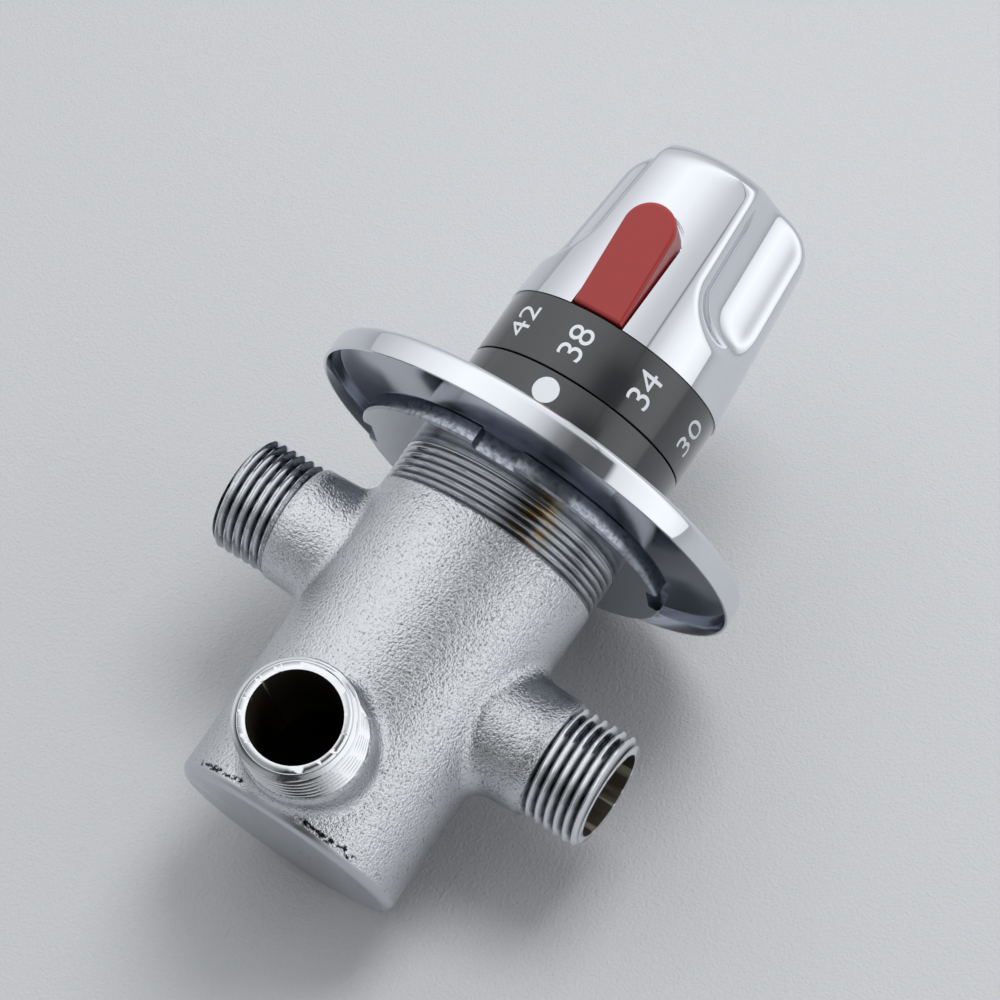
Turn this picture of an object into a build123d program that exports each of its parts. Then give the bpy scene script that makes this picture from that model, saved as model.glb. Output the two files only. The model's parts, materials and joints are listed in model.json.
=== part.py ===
from build123d import *
import math
import os

# Thermostatic shower mixer for a wall: a cast body with two inlets and an outlet, a ring nut,
# a spun trim plate, a wax cartridge with its spindle, and a fluted knob with a scale ring and
# a push-in safety button.
#
# Working frame, millimetres: Z runs along the spindle towards the knob, Y points along the
# outlet, X along the cold inlet. Z = 0 is the wall, where the rim of the trim plate rests.
# Angles about the spindle are counted from the outlet side towards the hot inlet.
# to_row() turns every finished piece so that the spindle lies level and the outlet looks up.

# Fits
slip = 0.05                # radial clearance of a piece that is pushed or screwed in
running = 0.08             # radial clearance of a piece that slides or turns in its bore
air = 0.3                  # clearance between pieces that move past each other
over = 1.0                 # how far a cutter reaches past the surface that it cuts
fan_steps = 12             # straight steps in the wedge that cuts a ring's part

# Cast body, from the cartridge's bores outwards
main_bore_r = 15.5
bonnet_bore_r = 17.6
nose_wall = 2.8
nose_r = bonnet_bore_r + nose_wall     # body above the thread, inside the trim plate
nose_step = 0.67           # the body below stands out by this
body_r = nose_r + nose_step
base_z = -72.1
base_edge = 2.0            # ends just below the outlet's neck
thread_pitch = 1.35        # fine thread that carries the ring nut, drawn as plain rings
thread_depth = 0.6
thread_flat = 0.35         # width of a thread's crest
thread_clear = 0.4         # the thread starts this far above the cold neck's fillet
nose_top_z = 4.5
nose_lead = 0.6            # cone between the thread and the nose
floor_t = 5.0
chamber_r = 14.0           # mixing chamber
chamber_top_z = -45.3
bonnet_low_z = -12.0

# Ports
outlet_z = -58.9
hot_z = -36.3
cold_z = -24.8
inlet_neck_l = 8.73        # cast neck between the body and an inlet's thread
outlet_neck_l = 4.83
port_thread_r = 10.48
port_thread_l = 11.6
port_pitch = 1.814
port_thread_depth = 1.1
inlet_reach = body_r + inlet_neck_l + port_thread_l
outlet_reach = body_r + outlet_neck_l + port_thread_l
port_lip_r = 9.3
port_chamfer = 0.8
neck_end_r = 10.8
neck_draft = 2.4           # degrees that the cast neck widens towards the body
neck_fillet = 3.2
port_bore_r = 7.9
port_bore_l = 20.9         # depth of an inlet's bore, down to where it narrows
port_bore_floor = inlet_reach - port_bore_l
passage_r = 4.5

# Width of the black rings that stand on the body's nose
ring_lip = 0.37            # the rings stand proud of the nose
ring_r = nose_r + ring_lip

# Ring nut and trim plate
nut_w = 9.33
nut_r = body_r + nut_w
nut_t = 3.6
nut_low_z = -4.3
nut_edge = 0.4
notch_w = 8.2
notch_depth = 2.3
notch_count = 4
trim_r = inlet_reach       # the plate covers the body with its inlets
trim_h = 6.0
trim_rim_h = 3.5
trim_shoulder_w = 9.2
trim_flat_r = trim_r - trim_shoulder_w
trim_crown_r = 30.0        # arc that falls from the flat front towards the rim
trim_wall = 1.2
trim_rim_wall = 0.6
trim_gap = 0.63            # gap around the black ring in the plate's hole
trim_hole_r = ring_r + trim_gap
collar_wall = 1.2
seal_t = 1.0
trim_seal_w = 3.0

# Cartridge sleeve with its seats and seals
sleeve_r = main_bore_r - slip
sleeve_bore_r = 12.0
sleeve_lip_r = 10.5
sleeve_lip_t = 0.8
gallery_depth = 1.4        # ring channel outside the windows
gallery_h = 5.0
window_w = 8.0
window_h = 3.2
window_count = 4
groove_depth = 1.35
groove_w = 2.4
seal_w = 2.2
sleeve_seal_z = (-41.9, -30.5, -18.3)
spider_t = 1.5
spoke_w = 2.4
seat_r = 10.0
seat_bore_r = 8.0
seat_flange_t = 1.5
hot_gap = 0.75             # open gap under the shuttle at 38 degrees
cold_gap = 0.35            # open gap above the shuttle at 38 degrees
shuttle_low_z = -35.2
shuttle_h = 9.3
shuttle_bore_r = 8.4
shuttle_hub_r = 5.0
shuttle_hub_h = 2.4
shuttle_seal_depth = 1.3
shuttle_seal_w = 2.0
cold_seat_h = 2.0
cold_seat_bore_r = 7.6
cold_spigot_h = 2.0

# Wax element, piston and overtravel spring
wax_r = 4.9
wax_low_z = -57.0
wax_flange_r = 6.6
wax_flange_t = 1.6
wax_neck_r = 3.0
wax_neck_h = 5.9
piston_r = 1.5
piston_cap_r = 5.2
piston_cap_t = 1.3
carrier_hex_r = 7.6        # corner radius of the nut that the spindle drives
carrier_low_z = -21.4
carrier_h = 15.4
carrier_cavity_r = 5.7
carrier_cavity_h = 8.8
clip_t = 0.8
clip_w = 1.4
clip_open = 80.0           # degrees that the spindle's clip is open
clip_bore_r = 3.0

# Bonnet and spindle
bonnet_groove_z = -7.5
hex_top_z = -2.4
bonnet_neck_r = 12.0
bonnet_neck_drop = 0.45    # the bonnet's neck ends this far below the fixed ring's top
spindle_r = 4.5
spindle_thread_r = 3.6
spindle_low_z = -12.2
spindle_flange_r = 6.3
spindle_flange_t = 2.0
spindle_seal_z = (2.5, 7.5)
spindle_seal_depth = 1.0
spindle_seal_w = 1.8
serration_r = 5.4
serration_depth = 0.5
serration_count = 18
serration_lead = 0.2
serration_rise = 3.0       # the serrated end stands this far above the knob's ledge
screw_r = 1.95
screw_l = 10.0
screw_head_r = 3.6
screw_head_t = 2.2
screw_slot_w = 0.9

# Black rings and the stops between them
ring_gap = 0.3             # running gap between the fixed and the turning ring
index_h = 11.45
index_top_z = nose_top_z + index_h
index_wall = 2.2
index_web_t = 2.5
scale_low_z = index_top_z + ring_gap
scale_h = 11.85
scale_top_z = scale_low_z + scale_h
scale_wall = 2.37
scale_bore_r = ring_r - scale_wall
stop_floor_t = 3.0
stop_gap = 0.67            # gap between the stop ring's wall and the fixed ring
stop_wall_t = 2.0
stop_wall_high_r = ring_r - index_wall - stop_gap
stop_wall_low_r = stop_wall_high_r - stop_wall_t
stop_wall_drop = 1.95      # the stop wall ends this far below the fixed ring's top
stop_wall_top_z = index_top_z - stop_wall_drop
step_start = -12.0         # angles of the low step under the button's tail
step_end = 4.0
tooth_reach = 3.5          # the knob's tooth hangs this far below the stop wall's top
tooth_low_z = stop_wall_top_z - tooth_reach
tooth_half_angle = 8.0
tooth_angle = 180.0
turn_colder = 110.0
turn_hotter = 36.0
stop_play = 1.5            # degrees left before a stop touches

# Knob
knob_lip = 0.23            # the knob stands proud of the black rings
knob_low_r = ring_r + knob_lip
knob_draw = 2.95           # the side draws in by this before it would meet the dome
knob_high_r = knob_low_r - knob_draw
knob_edge = 5.0
knob_l = 37.9
knob_top_z = scale_top_z + knob_l
dome_rise = 1.1
knob_shoulder_z = knob_top_z - dome_rise
knob_wall = 2.2
knob_ledge = 2.9
knob_ledge_z = scale_top_z + knob_ledge
button_angle = -4.75
flute_angles = (55.25, 175.25, 295.25)
flute_r = 13.0
flute_depth = 4.75
flute_l = 20.6
flute_ramp_z = knob_top_z - flute_l     # the flute runs out below this height
flute_ramp_h = 10.3
flute_lip = 1.4
insert_wall = 1.4
insert_web_t = 2.0
insert_hub_r = 9.0
insert_hub_gap = 1.2       # room above the bonnet's neck for the spindle's clip
insert_hub_rise = 7.0      # the hub stands this far above the spindle's end

# Safety button
slot_half_w = 5.15
slot_l = 22.1
slot_top_z = scale_top_z + slot_l
button_side_gap = 0.3
button_lift = 0.35
button_low_z = scale_top_z + button_lift
button_proud = 0.2
button_face_low = knob_low_r + button_proud     # distance of the face's low end from the spindle
button_face_tilt = 9.5     # degrees that the face leans outwards
button_depth = 3.4
button_back = knob_low_r - button_depth
button_edge = 0.7
button_wall = 1.6
pivot_depth = 5.4
pivot_out = knob_low_r - pivot_depth
pivot_lift = 1.8
pivot_z = scale_top_z + pivot_lift
pivot_r = 0.8
pivot_half_l = 7.3
lever_eye_r = 1.9
tail_l = 9.9
tail_low_z = pivot_z - tail_l
tail_w = 3.6
tail_t = 1.4
ear_w = 1.8
button_spring_lift = 13.1
button_spring_z = pivot_z + button_spring_lift

# Springs: mean radius and wire width
return_coil_r = 5.85
return_wire = 1.1
over_coil_r = 4.6
over_wire = 0.9
button_coil_r = 2.1
button_wire = 0.6
check_coil_r = 3.3
check_wire = 0.6

# Check valves and strainers in the inlets, placed by distance from the spindle axis
check_l = 10.0
check_wall = 1.45
check_lip_t = 1.2
check_hole_r = 4.2
check_hub_r = 2.4
check_stem_r = 1.2
poppet_r = 5.4
poppet_t = 1.3
poppet_seat_gap = 0.1
strainer_l = 2.6
strainer_wall = 1.2
strainer_bar = 0.5
strainer_pitch = 2.4


# Helpers

def turned(*outline):
    """A solid turned about the spindle axis from an outline of (radius, height) points."""
    return revolve(Plane.XZ * make_face(Polyline(*outline, close=True)), Axis.Z)


def ring(outer, inner, low, high):
    """A plain ring about the spindle axis."""
    return turned((inner, low), (outer, low), (outer, high), (inner, high))


def block(x0, x1, y0, y1, z0, z1):
    """A box between two corners."""
    middle = Pos((x0 + x1) / 2, (y0 + y1) / 2, (z0 + z1) / 2)
    return middle * Box(x1 - x0, y1 - y0, z1 - z0)


def column(radius, low, high):
    """A round column about the Z axis."""
    return Pos(0, 0, (low + high) / 2) * Cylinder(radius, high - low)


def sector(outer, inner, low, high, start, end):
    """A ring's part between two angles about the spindle, counted from the outlet side."""
    reach = outer * 2
    fan = [(0.0, 0.0)]
    for index in range(fan_steps + 1):
        angle = math.radians(start + (end - start) * index / fan_steps)
        fan.append((-reach * math.sin(angle), reach * math.cos(angle)))
    wedge = Pos(0, 0, low) * extrude(make_face(Polyline(*fan, close=True)), high - low)
    return ring(outer, inner, low, high) & wedge


def star(outer, root, count, low, high):
    """A bar with straight-sided serrations."""
    points = []
    for index in range(2 * count):
        radius = outer if index % 2 == 0 else root
        angle = math.pi * index / count
        points.append((radius * math.cos(angle), radius * math.sin(angle)))
    return Pos(0, 0, low) * extrude(make_face(Polyline(*points, close=True)), high - low)


def hexagon(corner_r, low, high):
    """A six-sided bar."""
    return Pos(0, 0, low) * extrude(RegularPolygon(corner_r, 6), high - low)


def coil(mean_r, wire, low, high, turns):
    """A coil spring of square wire along Z between two heights."""
    rise = high - low - wire
    path = Pos(0, 0, low + wire / 2) * Helix(rise / turns, rise, mean_r)
    section = Plane(origin=path @ 0, z_dir=path % 0) * Rectangle(wire, wire)
    return sweep(section, path, is_frenet=True)


def port(z, turn):
    """The place of a port: its own Z axis leaves the spindle axis at height z."""
    return Pos(0, 0, z) * turn


outlet_port = port(outlet_z, Rot(X=-90))
hot_port = port(hot_z, Rot(Y=-90))
cold_port = port(cold_z, Rot(Y=90))


# Cast body

def thread_rings(crest_r, depth, pitch, low, high):
    """Outline points of a thread drawn as plain rings, as many turns as fit below its high end."""
    points = []
    for index in range(int((high - low) / pitch)):
        top = high - pitch * index
        points += [(crest_r, top - thread_flat),
                   (crest_r - depth, top - (pitch + thread_flat) / 2),
                   (crest_r, top - pitch)]
    return points[::-1]


def port_outside(reach):
    thread_start = reach - port_thread_l
    thread_low = thread_start + neck_end_r - port_thread_r
    thread_high = reach - port_chamfer
    root_r = neck_end_r + thread_start * math.tan(math.radians(neck_draft))
    return turned((0, 0),
                  (root_r, 0),
                  (neck_end_r, thread_start),
                  (port_thread_r, thread_low),
                  *thread_rings(port_thread_r, port_thread_depth, port_pitch, thread_low, thread_high),
                  (port_thread_r, thread_high),
                  (port_lip_r, reach),
                  (0, reach))


def valve_body():
    thread_low = cold_z + neck_end_r + neck_fillet + thread_clear
    barrel = turned((0, base_z), (body_r, base_z),
                    *thread_rings(body_r, thread_depth, thread_pitch, thread_low, nut_low_z),
                    (body_r, nut_low_z), (nose_r, nut_low_z + nose_lead), (nose_r, nose_top_z),
                    (0, nose_top_z))
    base_rim = barrel.edges().filter_by(GeomType.CIRCLE).sort_by(Axis.Z)[0]
    blank = fillet(base_rim, base_edge)
    for place, reach in ((outlet_port, outlet_reach), (hot_port, inlet_reach), (cold_port, inlet_reach)):
        neck = place * port_outside(reach)
        blank += neck
        seams = [edge for edge in blank.edges().filter_by(GeomType.BSPLINE)
                 if edge.distance_to(neck) < slip and edge.distance_to(barrel) < slip]
        blank = fillet(seams, neck_fillet)
    blank -= ring(bonnet_bore_r, 0, bonnet_low_z, nose_top_z)
    blank -= ring(main_bore_r, 0, chamber_top_z, bonnet_low_z)
    blank -= ring(chamber_r, 0, base_z + floor_t, chamber_top_z)
    blank -= outlet_port * column(port_bore_r, chamber_r / 2, outlet_reach)
    for place in (hot_port, cold_port):
        blank -= place * column(port_bore_r, port_bore_floor, inlet_reach)
        blank -= place * column(passage_r, main_bore_r / 2, port_bore_floor)
    return blank


# Ring nut and trim plate

nut_top_z = nut_low_z + nut_t
nut_bore_r = body_r + slip


def ring_nut():
    nut = turned((nut_bore_r, nut_low_z), (nut_r - nut_edge, nut_low_z), (nut_r, nut_low_z + nut_edge),
                 (nut_r, nut_top_z - nut_edge), (nut_r - nut_edge, nut_top_z), (nut_bore_r, nut_top_z))
    for index in range(notch_count):
        notch = block(-notch_w / 2, notch_w / 2, nut_r - notch_depth, nut_r + notch_w,
                      nut_low_z, nut_top_z)
        nut -= Rot(Z=360 / notch_count * index) * notch
    return nut


trim_seal_top_z = nut_top_z + seal_t


def trim_plate():
    """A spun cup: flat front, shoulder of two tangent arcs, straight rim and an inner collar."""
    shoulder_w = trim_r - trim_flat_r
    shoulder_h = trim_h - trim_rim_h
    crown_low = trim_crown_r - shoulder_h
    edge_r = ((trim_crown_r ** 2 - shoulder_w ** 2 - crown_low ** 2)
              / (2 * (trim_crown_r - shoulder_w)))
    crown_middle = (trim_flat_r, trim_h - trim_crown_r)
    edge_middle = (trim_r - edge_r, trim_rim_h)
    meeting = math.degrees(math.atan2(crown_low, shoulder_w - edge_r))
    collar_r = trim_hole_r + collar_wall
    inner_h = trim_h - trim_wall
    wall_end = (trim_r - trim_wall, trim_rim_h)
    rim_end = (trim_r - trim_rim_wall, 0)
    outline = [CenterArc(edge_middle, edge_r, 0, meeting),
               CenterArc(crown_middle, trim_crown_r, meeting, 90 - meeting),
               Polyline((trim_flat_r, trim_h), (trim_hole_r, trim_h), (trim_hole_r, trim_seal_top_z),
                        (collar_r, trim_seal_top_z), (collar_r, inner_h), (trim_flat_r, inner_h)),
               CenterArc(crown_middle, trim_crown_r - trim_wall, meeting, 90 - meeting),
               CenterArc(edge_middle, edge_r - trim_wall, 0, meeting),
               Polyline(wall_end, rim_end, (trim_r, 0), (trim_r, trim_rim_h))]
    return revolve(Plane.XZ * make_face(outline), Axis.Z)


def trim_seal():
    return ring(nose_r + slip + trim_seal_w, nose_r + slip, nut_top_z, trim_seal_top_z)


# Cartridge sleeve, seats and seals

hot_seat_top_z = shuttle_low_z - hot_gap
shuttle_top_z = shuttle_low_z + shuttle_h
cold_seat_low_z = shuttle_top_z + cold_gap
spider_low_z = chamber_top_z + sleeve_lip_t
spider_top_z = spider_low_z + spider_t
bonnet_tube_low_z = cold_seat_low_z + cold_seat_h
hex_low_z = bonnet_tube_low_z + cold_spigot_h


def cartridge_sleeve():
    sleeve = turned((sleeve_lip_r, chamber_top_z), (sleeve_r, chamber_top_z), (sleeve_r, bonnet_low_z),
                    (sleeve_bore_r, bonnet_low_z), (sleeve_bore_r, spider_low_z),
                    (sleeve_lip_r, spider_low_z))
    for z in sleeve_seal_z:
        sleeve -= ring(sleeve_r + over, sleeve_r - groove_depth, z - groove_w / 2, z + groove_w / 2)
    for z in (hot_z, cold_z):
        sleeve -= ring(sleeve_r + over, sleeve_r - gallery_depth, z - gallery_h / 2, z + gallery_h / 2)
        for index in range(window_count):
            window = block(-window_w / 2, window_w / 2, sleeve_lip_r, sleeve_r,
                           z - window_h / 2, z + window_h / 2)
            sleeve -= Rot(Z=360 / window_count * (index + 0.5)) * window
    return sleeve


def sleeve_seals():
    inner = sleeve_r - groove_depth + slip
    outer = main_bore_r - slip / 2
    return [ring(outer, inner, z - seal_w / 2, z + seal_w / 2) for z in sleeve_seal_z]


def spring_seat():
    """The spider that carries the return spring and guides the wax element."""
    hub_bore_r = wax_r + air
    hub_r = return_coil_r + return_wire / 2 + slip
    rim_r = sleeve_bore_r - slip
    spider = ring(rim_r, sleeve_lip_r - slip, spider_low_z, spider_top_z)
    spider += ring(hub_r, hub_bore_r, spider_low_z, spider_top_z)
    spoke = block(-spoke_w / 2, spoke_w / 2, hub_r - slip, rim_r - slip * 2, spider_low_z, spider_top_z)
    for index in range(3):
        spider += Rot(Z=120 * index) * spoke
    return spider


def hot_seat():
    rim_r = sleeve_bore_r - slip
    flange_top_z = spider_top_z + seat_flange_t
    return turned((seat_bore_r, spider_top_z), (rim_r, spider_top_z), (rim_r, flange_top_z),
                  (seat_r, flange_top_z), (seat_r, hot_seat_top_z), (seat_bore_r, hot_seat_top_z))


def cold_seat():
    """A ring with a spigot that is pushed into the bonnet's tube."""
    spigot_r = seat_bore_r - slip
    return turned((cold_seat_bore_r, cold_seat_low_z), (seat_r, cold_seat_low_z),
                  (seat_r, bonnet_tube_low_z), (spigot_r, bonnet_tube_low_z),
                  (spigot_r, hex_low_z), (cold_seat_bore_r, hex_low_z))


shuttle_r = sleeve_bore_r - running
shuttle_seal_mid_z = (shuttle_low_z + shuttle_top_z) / 2
hub_low_z = shuttle_low_z + air


def shuttle():
    body = ring(shuttle_r, shuttle_bore_r, shuttle_low_z, shuttle_top_z)
    body -= ring(shuttle_r + over, shuttle_r - shuttle_seal_depth,
                 shuttle_seal_mid_z - shuttle_seal_w / 2, shuttle_seal_mid_z + shuttle_seal_w / 2)
    hub_top_z = hub_low_z + shuttle_hub_h
    spoke = block(-spoke_w / 2, spoke_w / 2, wax_neck_r + over, shuttle_bore_r + slip, hub_low_z, hub_top_z)
    for index in range(3):
        body += Rot(Z=120 * index) * spoke
    body += ring(shuttle_hub_r, wax_neck_r + slip, hub_low_z, hub_top_z)
    return body


def shuttle_seal():
    half = shuttle_seal_w / 2 - slip
    return ring(shuttle_r + slip / 2, shuttle_r - shuttle_seal_depth + slip,
                shuttle_seal_mid_z - half, shuttle_seal_mid_z + half)


# Wax element, piston and overtravel

wax_flange_low_z = hub_low_z - wax_flange_t
wax_neck_top_z = hub_low_z + wax_neck_h
clip_top_z = carrier_low_z + clip_t
piston_cap_low_z = clip_top_z + slip
piston_cap_top_z = piston_cap_low_z + piston_cap_t
piston_top_z = piston_cap_low_z + piston_cap_t / 2
piston_low_z = hub_low_z + slip
cavity_top_z = carrier_low_z + carrier_cavity_h
carrier_top_z = carrier_low_z + carrier_h


def wax_element():
    crimp_low_z = wax_low_z + wax_r / 2
    bore_r = piston_r + running
    return turned((0, wax_low_z), (wax_r / 2, wax_low_z), (wax_r, crimp_low_z),
                  (wax_r, wax_flange_low_z), (wax_flange_r, wax_flange_low_z),
                  (wax_flange_r, hub_low_z), (wax_neck_r, hub_low_z),
                  (wax_neck_r, wax_neck_top_z), (bore_r, wax_neck_top_z),
                  (bore_r, hub_low_z), (0, hub_low_z))


def piston():
    return column(piston_r, piston_low_z, piston_top_z)


def piston_cap():
    cap = column(piston_cap_r, piston_cap_low_z, piston_cap_top_z)
    return cap - column(piston_r + slip, piston_cap_low_z, piston_top_z)


def overtravel_spring():
    return coil(over_coil_r, over_wire, piston_cap_top_z + slip, cavity_top_z - slip, 3)


def spindle_nut():
    nut = hexagon(carrier_hex_r, carrier_low_z, carrier_top_z)
    nut -= column(carrier_cavity_r, carrier_low_z, cavity_top_z)
    return nut - column(spindle_thread_r + running, cavity_top_z, carrier_top_z)


def nut_clip():
    return ring(carrier_cavity_r - slip, clip_bore_r, carrier_low_z, clip_top_z)


def return_spring():
    return coil(return_coil_r, return_wire, spider_top_z + slip, wax_flange_low_z - slip, 3)


# Bonnet and spindle

bonnet_neck_top_z = index_top_z - bonnet_neck_drop
insert_hub_low_z = bonnet_neck_top_z + insert_hub_gap
serration_low_z = insert_hub_low_z + serration_lead
serration_top_z = knob_ledge_z + serration_rise
insert_hub_top_z = serration_top_z + insert_hub_rise


def cartridge_bonnet():
    outer_r = bonnet_bore_r - slip
    groove = ring(outer_r + over, outer_r - groove_depth,
                  bonnet_groove_z - groove_w / 2, bonnet_groove_z + groove_w / 2)
    bonnet = turned((seat_bore_r, bonnet_tube_low_z), (seat_r, bonnet_tube_low_z), (seat_r, bonnet_low_z),
                    (outer_r, bonnet_low_z), (outer_r, nose_top_z), (bonnet_neck_r, nose_top_z),
                    (bonnet_neck_r, bonnet_neck_top_z), (spindle_r + running, bonnet_neck_top_z),
                    (spindle_r + running, hex_low_z), (seat_bore_r, hex_low_z))
    bonnet -= groove
    return bonnet - hexagon(carrier_hex_r + running * 1.2, hex_low_z, hex_top_z)


def bonnet_seal():
    outer_r = bonnet_bore_r - slip
    return ring(bonnet_bore_r - slip / 2, outer_r - groove_depth + slip,
                bonnet_groove_z - seal_w / 2, bonnet_groove_z + seal_w / 2)


spindle_flange_top_z = hex_top_z - slip


def spindle():
    flange_low_z = spindle_flange_top_z - spindle_flange_t
    root_r = serration_r - serration_depth
    body = turned((0, spindle_low_z), (spindle_thread_r, spindle_low_z), (spindle_thread_r, flange_low_z),
                  (spindle_flange_r, flange_low_z), (spindle_flange_r, spindle_flange_top_z),
                  (spindle_r, spindle_flange_top_z), (spindle_r, serration_low_z), (0, serration_low_z))
    for z in spindle_seal_z:
        body -= ring(spindle_r + over, spindle_r - spindle_seal_depth,
                     z - spindle_seal_w / 2, z + spindle_seal_w / 2)
    clip_z = bonnet_neck_top_z + air
    body -= ring(spindle_r + over, spindle_r - clip_t / 2, clip_z, clip_z + clip_t)
    body += star(serration_r, root_r, serration_count, serration_low_z, serration_top_z)
    return body - column(screw_r + slip, serration_top_z - screw_l - air, serration_top_z)


def spindle_seals():
    half = spindle_seal_w / 2 - slip
    outer = spindle_r + running / 2
    inner = spindle_r - spindle_seal_depth + slip
    return [ring(outer, inner, z - half, z + half) for z in spindle_seal_z]


def spindle_clip():
    """An open spring clip in the spindle's groove, above the bonnet."""
    clip_z = bonnet_neck_top_z + air
    inner = spindle_r - clip_t / 2 + slip
    return sector(spindle_r + clip_w, inner, clip_z + slip, clip_z + clip_t - slip,
                  clip_open / 2, 360 - clip_open / 2)


# Fixed black ring and stop ring

index_web_top_z = nose_top_z + index_web_t


def index_ring():
    wall_r = ring_r - index_wall
    return turned((bonnet_neck_r + slip, nose_top_z), (ring_r, nose_top_z), (ring_r, index_top_z),
                  (wall_r, index_top_z), (wall_r, index_web_top_z), (bonnet_neck_r + slip, index_web_top_z))


def stop_ring():
    """A ring on the bonnet's neck, with the wall that ends the knob's turn at both ends."""
    floor_top_z = index_web_top_z + stop_floor_t
    free_start = tooth_angle + tooth_half_angle + turn_hotter + stop_play
    free_end = tooth_angle - tooth_half_angle - turn_colder - stop_play + 360
    body = ring(stop_wall_high_r, bonnet_neck_r + slip, index_web_top_z, floor_top_z)
    body += sector(stop_wall_high_r, stop_wall_low_r, floor_top_z, stop_wall_top_z, free_start, free_end)
    step_low_r = bonnet_neck_r + slip
    body += sector(stop_wall_low_r, step_low_r, floor_top_z, stop_wall_top_z, step_start, step_end)
    return body


# Knob

taper = math.degrees(math.atan((knob_low_r - knob_high_r) / (knob_shoulder_z - scale_top_z)))


def knob_radius(z):
    """Radius of the knob's tapered side at a height."""
    return knob_low_r - (z - scale_top_z) * math.tan(math.radians(taper))


def flute():
    """The cutter of one finger flute at the outlet side: a bar with a rounded low end."""
    out = knob_radius(flute_ramp_z) - flute_depth + flute_r
    length = knob_top_z
    outline = [EllipticalCenterArc((0, 0), flute_r, flute_ramp_h, 270, arc_size=90),
               Polyline((flute_r, 0), (flute_r, length), (0, length), (0, -flute_ramp_h))]
    cutter = revolve(Plane.XZ * make_face(outline), Axis.Z)
    return Pos(0, out, flute_ramp_z) * Rot(X=taper) * cutter


def button_slot(half_w, top_z, low_z, inner, outer):
    """An upright slot with a round top, cut outwards through the knob's wall."""
    centre_z = top_z - half_w
    straight = block(-half_w, half_w, inner, outer, low_z, centre_z)
    cap = Pos(0, (inner + outer) / 2, centre_z) * Rot(X=90) * Cylinder(half_w, outer - inner)
    return straight + cap


def knob_outside():
    dome_r = (knob_high_r ** 2 + dome_rise ** 2) / (2 * dome_rise)
    dome_angle = math.degrees(math.asin(knob_high_r / dome_r))
    outline = [Polyline((0, knob_top_z), (0, scale_top_z), (knob_low_r, scale_top_z),
                        (knob_high_r, knob_shoulder_z)),
               CenterArc((0, knob_top_z - dome_r), dome_r, 90 - dome_angle, dome_angle)]
    blank = revolve(Plane.XZ * make_face(outline), Axis.Z)
    shoulder = blank.edges().filter_by(GeomType.CIRCLE).sort_by(SortBy.LENGTH)[-2]
    return fillet(shoulder, knob_edge)


def knob_shell():
    shell = knob_outside()
    for angle in flute_angles:
        shell -= Rot(Z=angle) * flute()
    lips = [edge for edge in shell.edges() if edge.geom_type not in (GeomType.CIRCLE, GeomType.LINE)]
    shell = fillet(lips, flute_lip)
    inner_low_r = knob_radius(knob_ledge_z) - knob_wall
    inner_high_r = knob_high_r - knob_wall
    ceiling_z = knob_top_z - knob_wall
    bevel = knob_edge - knob_wall
    cavity = turned((0, knob_ledge_z), (inner_low_r, knob_ledge_z),
                    (inner_high_r, ceiling_z - bevel), (inner_high_r - bevel, ceiling_z), (0, ceiling_z))
    flat_out = knob_radius(flute_ramp_z) - flute_depth - knob_wall
    for angle in flute_angles:
        cavity -= Rot(Z=angle) * block(-knob_low_r, knob_low_r, flat_out, knob_low_r,
                                       flute_ramp_z - flute_ramp_h, knob_top_z)
    shell -= cavity
    shell -= column(scale_bore_r, scale_top_z, knob_ledge_z)
    slot = button_slot(slot_half_w, slot_top_z, scale_top_z, pivot_out, knob_low_r + knob_wall)
    return shell - Rot(Z=button_angle) * slot


def scale_ring():
    return ring(ring_r, scale_bore_r, scale_low_z, scale_top_z)


def knob_insert():
    """The moulded core that joins the shell, the scale ring and the spindle."""
    outer_r = scale_bore_r - slip
    inner_r = outer_r - insert_wall
    web_low_z = knob_ledge_z - insert_web_t
    core = ring(outer_r, inner_r, scale_low_z + air, knob_ledge_z)
    core += ring(inner_r + slip, insert_hub_r - slip, web_low_z, knob_ledge_z)
    core += ring(insert_hub_r, serration_r / 2, insert_hub_low_z, insert_hub_top_z)
    core -= star(serration_r + slip * 2, serration_r - serration_depth + slip * 2, serration_count,
                 insert_hub_low_z, serration_top_z + slip)
    core -= column(screw_head_r + slip * 2, serration_top_z + insert_web_t, insert_hub_top_z)
    core += sector(stop_wall_high_r, stop_wall_low_r, tooth_low_z, scale_low_z + air,
                   tooth_angle - tooth_half_angle, tooth_angle + tooth_half_angle)
    core += sector(outer_r, stop_wall_low_r, scale_low_z + air, scale_low_z + insert_web_t,
                   tooth_angle - tooth_half_angle, tooth_angle + tooth_half_angle)
    core += Rot(Z=button_angle) * button_ears(outer_r)
    return core - Rot(Z=button_angle) * button_room(outer_r)


def button_ears(outer_r):
    """Two ears beside the button that hold its pin."""
    half = slot_half_w + ear_w
    low_out = pivot_out - lever_eye_r
    ears = block(-half, half, low_out, outer_r, pivot_z - lever_eye_r, knob_ledge_z)
    return ears & column(outer_r, scale_low_z, knob_ledge_z)


def button_room(outer_r):
    """The gap in the core that the button's lever swings in, and the hole for its pin."""
    inner = pivot_out - lever_eye_r - tail_t
    room = block(-slot_half_w, slot_half_w, inner, outer_r + over, pivot_z - lever_eye_r - air, knob_ledge_z)
    hole = Pos(0, pivot_out, pivot_z) * Rot(Y=90) * Cylinder(pivot_r + slip, 2 * pivot_half_l + air)
    tail_half = tail_w / 2 + air
    way = block(-tail_half, tail_half, inner, outer_r - insert_wall, tail_low_z - air, knob_ledge_z)
    return room + hole + way


def knob_screw():
    """The screw that draws the core onto the spindle."""
    seat_z = serration_top_z + insert_web_t
    screw = column(screw_r, serration_top_z - screw_l, seat_z)
    screw += column(screw_head_r, seat_z, seat_z + screw_head_t)
    slot = block(-screw_head_r, screw_head_r, -screw_slot_w / 2, screw_slot_w / 2,
                 seat_z + screw_head_t / 2, seat_z + screw_head_t)
    return screw - slot


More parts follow.
